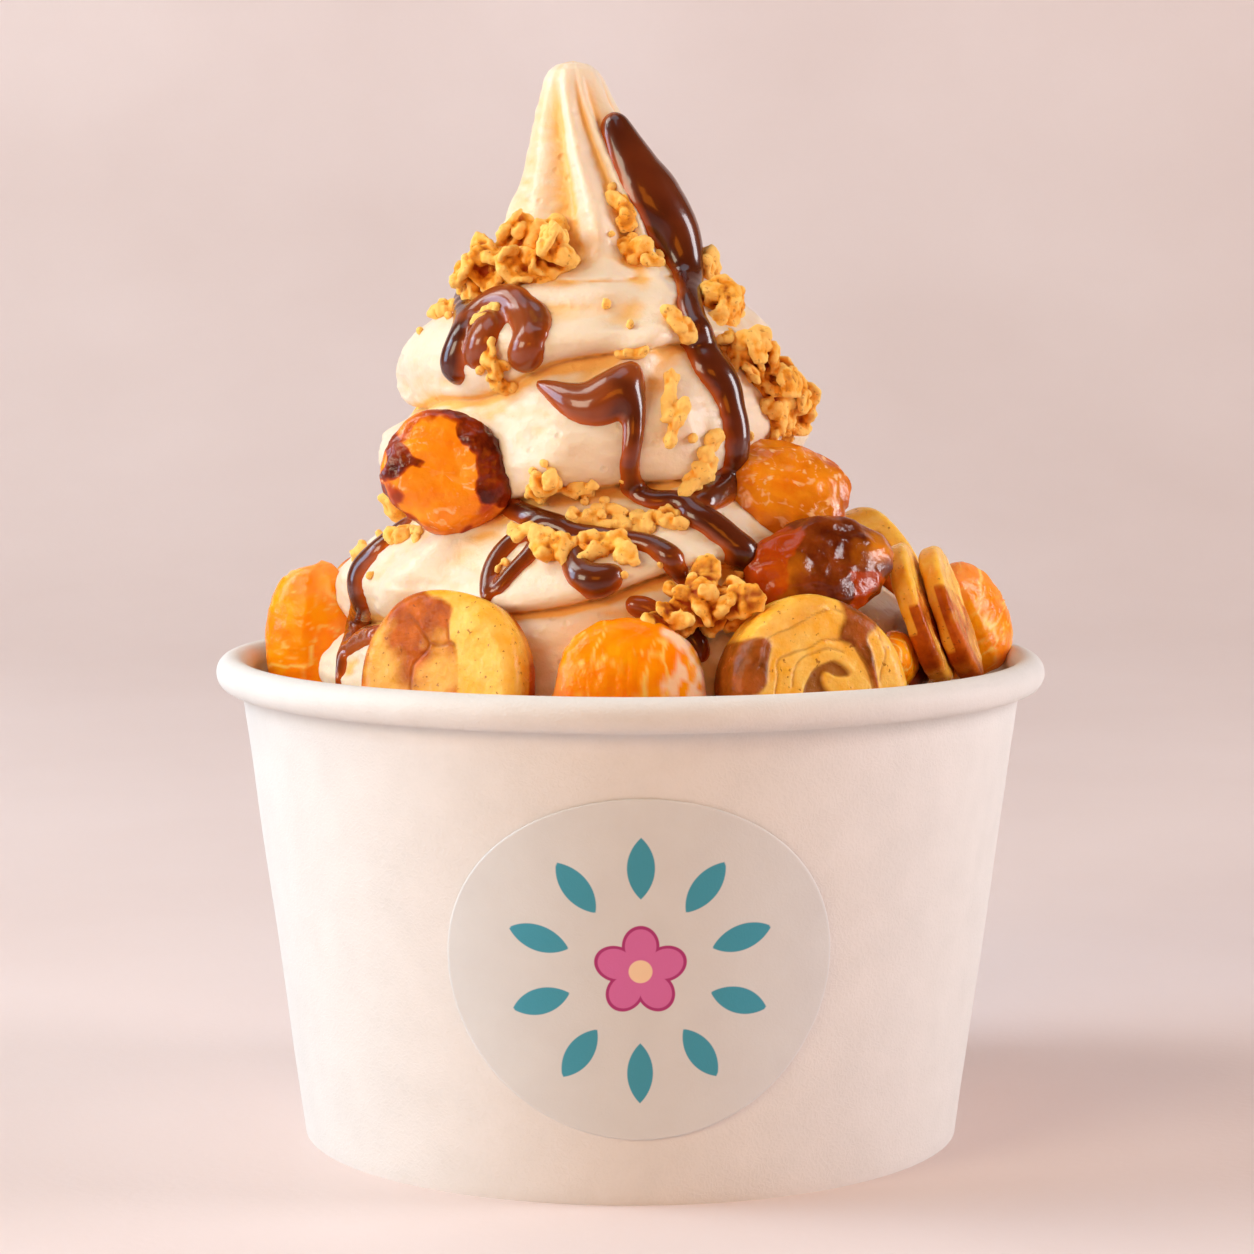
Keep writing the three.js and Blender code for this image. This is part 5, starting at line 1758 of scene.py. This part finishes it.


# sugar sets how many pale sugar specks are painted to stand in for glints
def coin(name, place, pose, radius, height, thickness, seed, flat=0.3, burnt=0.5, dark=0.0,
         spin=0, sugar=0.3, crumple=1.0):
    points, share, depth = pillow(radius, height, thickness, flat, seed, place[1] < 0)
    pulled = points * [0.7, 1, 1.3] + 1.2 * noise(points, 3, seed + 79)[..., None]
    fold = noise(pulled, 3.6, seed + 80)
    wrinkle = 0.26 * crumple * np.abs(fold) + 0.45 * noise(points, 5.5, seed + 81)
    crisp = 1 - 2.2 * np.abs(noise(points * [0.8, 1, 1.2], 2.2, seed + 94))
    wrinkle = wrinkle + 0.12 * noise(points, 1.3, seed + 82) + 0.16 * (crumple - 0.6) * crisp
    wave = 0.05 * noise(points, 1.7, seed + 86) + 0.03 * noise(points, 0.8, seed + 87)
    turn = math.radians(spin)
    x = points[..., 0] / radius * math.cos(turn) + points[..., 2] / height * math.sin(turn)
    z = points[..., 2] / height * math.cos(turn) - points[..., 0] / radius * math.sin(turn)
    x, z = x + wave, z + wave
    patch = [ease(-0.03, 0.05, inside(x, z, rounded(outline, True))) for outline in BURNT]
    patch = np.max(patch, 0)
    front = ease(-0.25, 0.1, depth)
    rim = ease(0.78, 1.0, share + 0.2 * rough(points, 3, seed + 83))
    edge = rim * ease(-0.1, 0.5, noise(points, 6, seed + 84) + burnt - 0.5) * 0.7
    char = np.maximum(patch * front, edge) * min(burnt * 1.6, 1)
    out = points / (np.linalg.norm(points, axis=-1, keepdims=True) + 1e-6)
    blisters = 0.25 * char * rough(points, 1.2, seed + 88)
    points = points + out * (wrinkle + blisters - 0.25)[..., None]
    fine = np.abs(noise(points + 0.8 * noise(points, 1.5, seed + 89)[..., None], 1.6, seed + 90))
    lines = (1 - ease(0.0, 0.09, fine)) * ease(0.0, 0.35, noise(points, 3.2, seed + 91))
    # pale sugar specks, painted to stand in for glints on the glaze
    sugar_glints = ease(0.42, 0.6, noise(points, 0.75, seed + 92))
    sugar_glints = sugar_glints * ease(-0.3, 0.3, noise(points, 4, seed + 93))
    crease = np.clip(lines * (1 - 0.8 * min(dark, 1)) + sugar * sugar_glints, 0, 1)
    cooked = dark * (0.72 + 0.5 * rough(points, 5, seed + 85))
    # painted glow: the middle of the face is painted a brighter amber than its rim
    marks = {"char": char, "glow": 1 - rim, "crease": crease, "dark": cooked}
    return put_slice(name, "caramel", points, place, pose, marks)


coins = [
    coin("caramel_left", (-24.2, -24.6, 94.4), (4, 0, -8), 8.8, 8.6, 6.5, 1, 0.12, 0.75),
    coin("caramel_right_top", (20.1, -19.8, 91.9), (30, 11, 12), 9.4, 7.0, 7.5, 2, 0.8, 0, 0.3,
         0, 1.2, 2.2),
    coin("caramel_right_low", (24.6, -28, 81.9), (22, -8, 24), 11.3, 6.5, 8.5, 3, 0.6, 0.25, 1.25,
         140, 0.0, 2.4),
    coin("caramel_back", (7, 30.5, 93), (22, 10, 170), 8.6, 8.6, 7, 4, 0.2, 0.6, 0, 70),
    coin("caramel_back_left", (-27.5, 22, 88.5), (24, -14, -128), 9, 7.2, 8, 5, 0.5, 0.4, 0.6, 200),
]

# %% [markdown]
# ## Coin finish
# Burnt sugar is clear amber over fruit that has gone dark: brightest in the middle, where the
# fruit is thick and light comes back out, and black where it caught. The glow is painted, a
# brighter amber in the middle than at the rim, under subsurface scattering and a smooth
# surface; the wrinkles are mixed in as thin pale lines, and pale sugar specks are painted to
# stand in for glints.

# %% Coin finish
def coin_material():
    material, tree, shader = new_material("burnt_sugar_fruit")
    cloud = between(tree, grain(tree, 260, 4, 0.6), 0.35, 0.65)
    amber = mixed(tree, cloud, (0.92, 0.24, 0.004), (1.0, 0.37, 0.012))
    edge = mixed(tree, cloud, (0.62, 0.12, 0.003), (0.85, 0.24, 0.01))
    # painted glow: a brighter amber in the middle, a darker orange towards the rim
    colour = mixed(tree, painted(tree, "glow"), edge, amber)
    cooked = mixed(tree, cloud, (0.10, 0.010, 0.001), (0.25, 0.044, 0.002))
    colour = mixed(tree, painted(tree, "dark"), colour, cooked)
    # pale wrinkle lines, and pale sugar specks painted to stand in for glints
    veins = between(tree, painted(tree, "crease"), 0.2, 1, 0, 0.8)
    colour = mixed(tree, veins, colour, (1.0, 0.62, 0.30))
    char = painted(tree, "char")
    glowing = between(tree, char, 0.1, 0.5)
    colour = mixed(tree, glowing, colour, (0.50, 0.06, 0.001))
    burnt = mixed(tree, cloud, (0.08, 0.005, 0.001), (0.28, 0.028, 0.002))
    colour = mixed(tree, between(tree, char, 0.45, 0.95), colour, burnt)
    feed(tree, shader, {
        "Base Color": colour, "Roughness": between(tree, cloud, 0, 1, 0.1, 0.24),
        "Specular IOR Level": 0.35, "Subsurface Weight": 0.35,
        "Subsurface Radius": (1.0, 0.3, 0.03), "Subsurface Scale": 0.003,
    })
    bumped(tree, shader, grain(tree, 600, 4, 0.6), 0.0004, 0.5)
    return material


dress(coins, coin_material())

# %% [markdown]
# ## Plain parts
# Every node of the plain model should be hidden by a finished piece, so each node that still
# shows is named.

# %% Plain parts
for name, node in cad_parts.items():
    if not node.hide_render:
        print("still plain:", name)
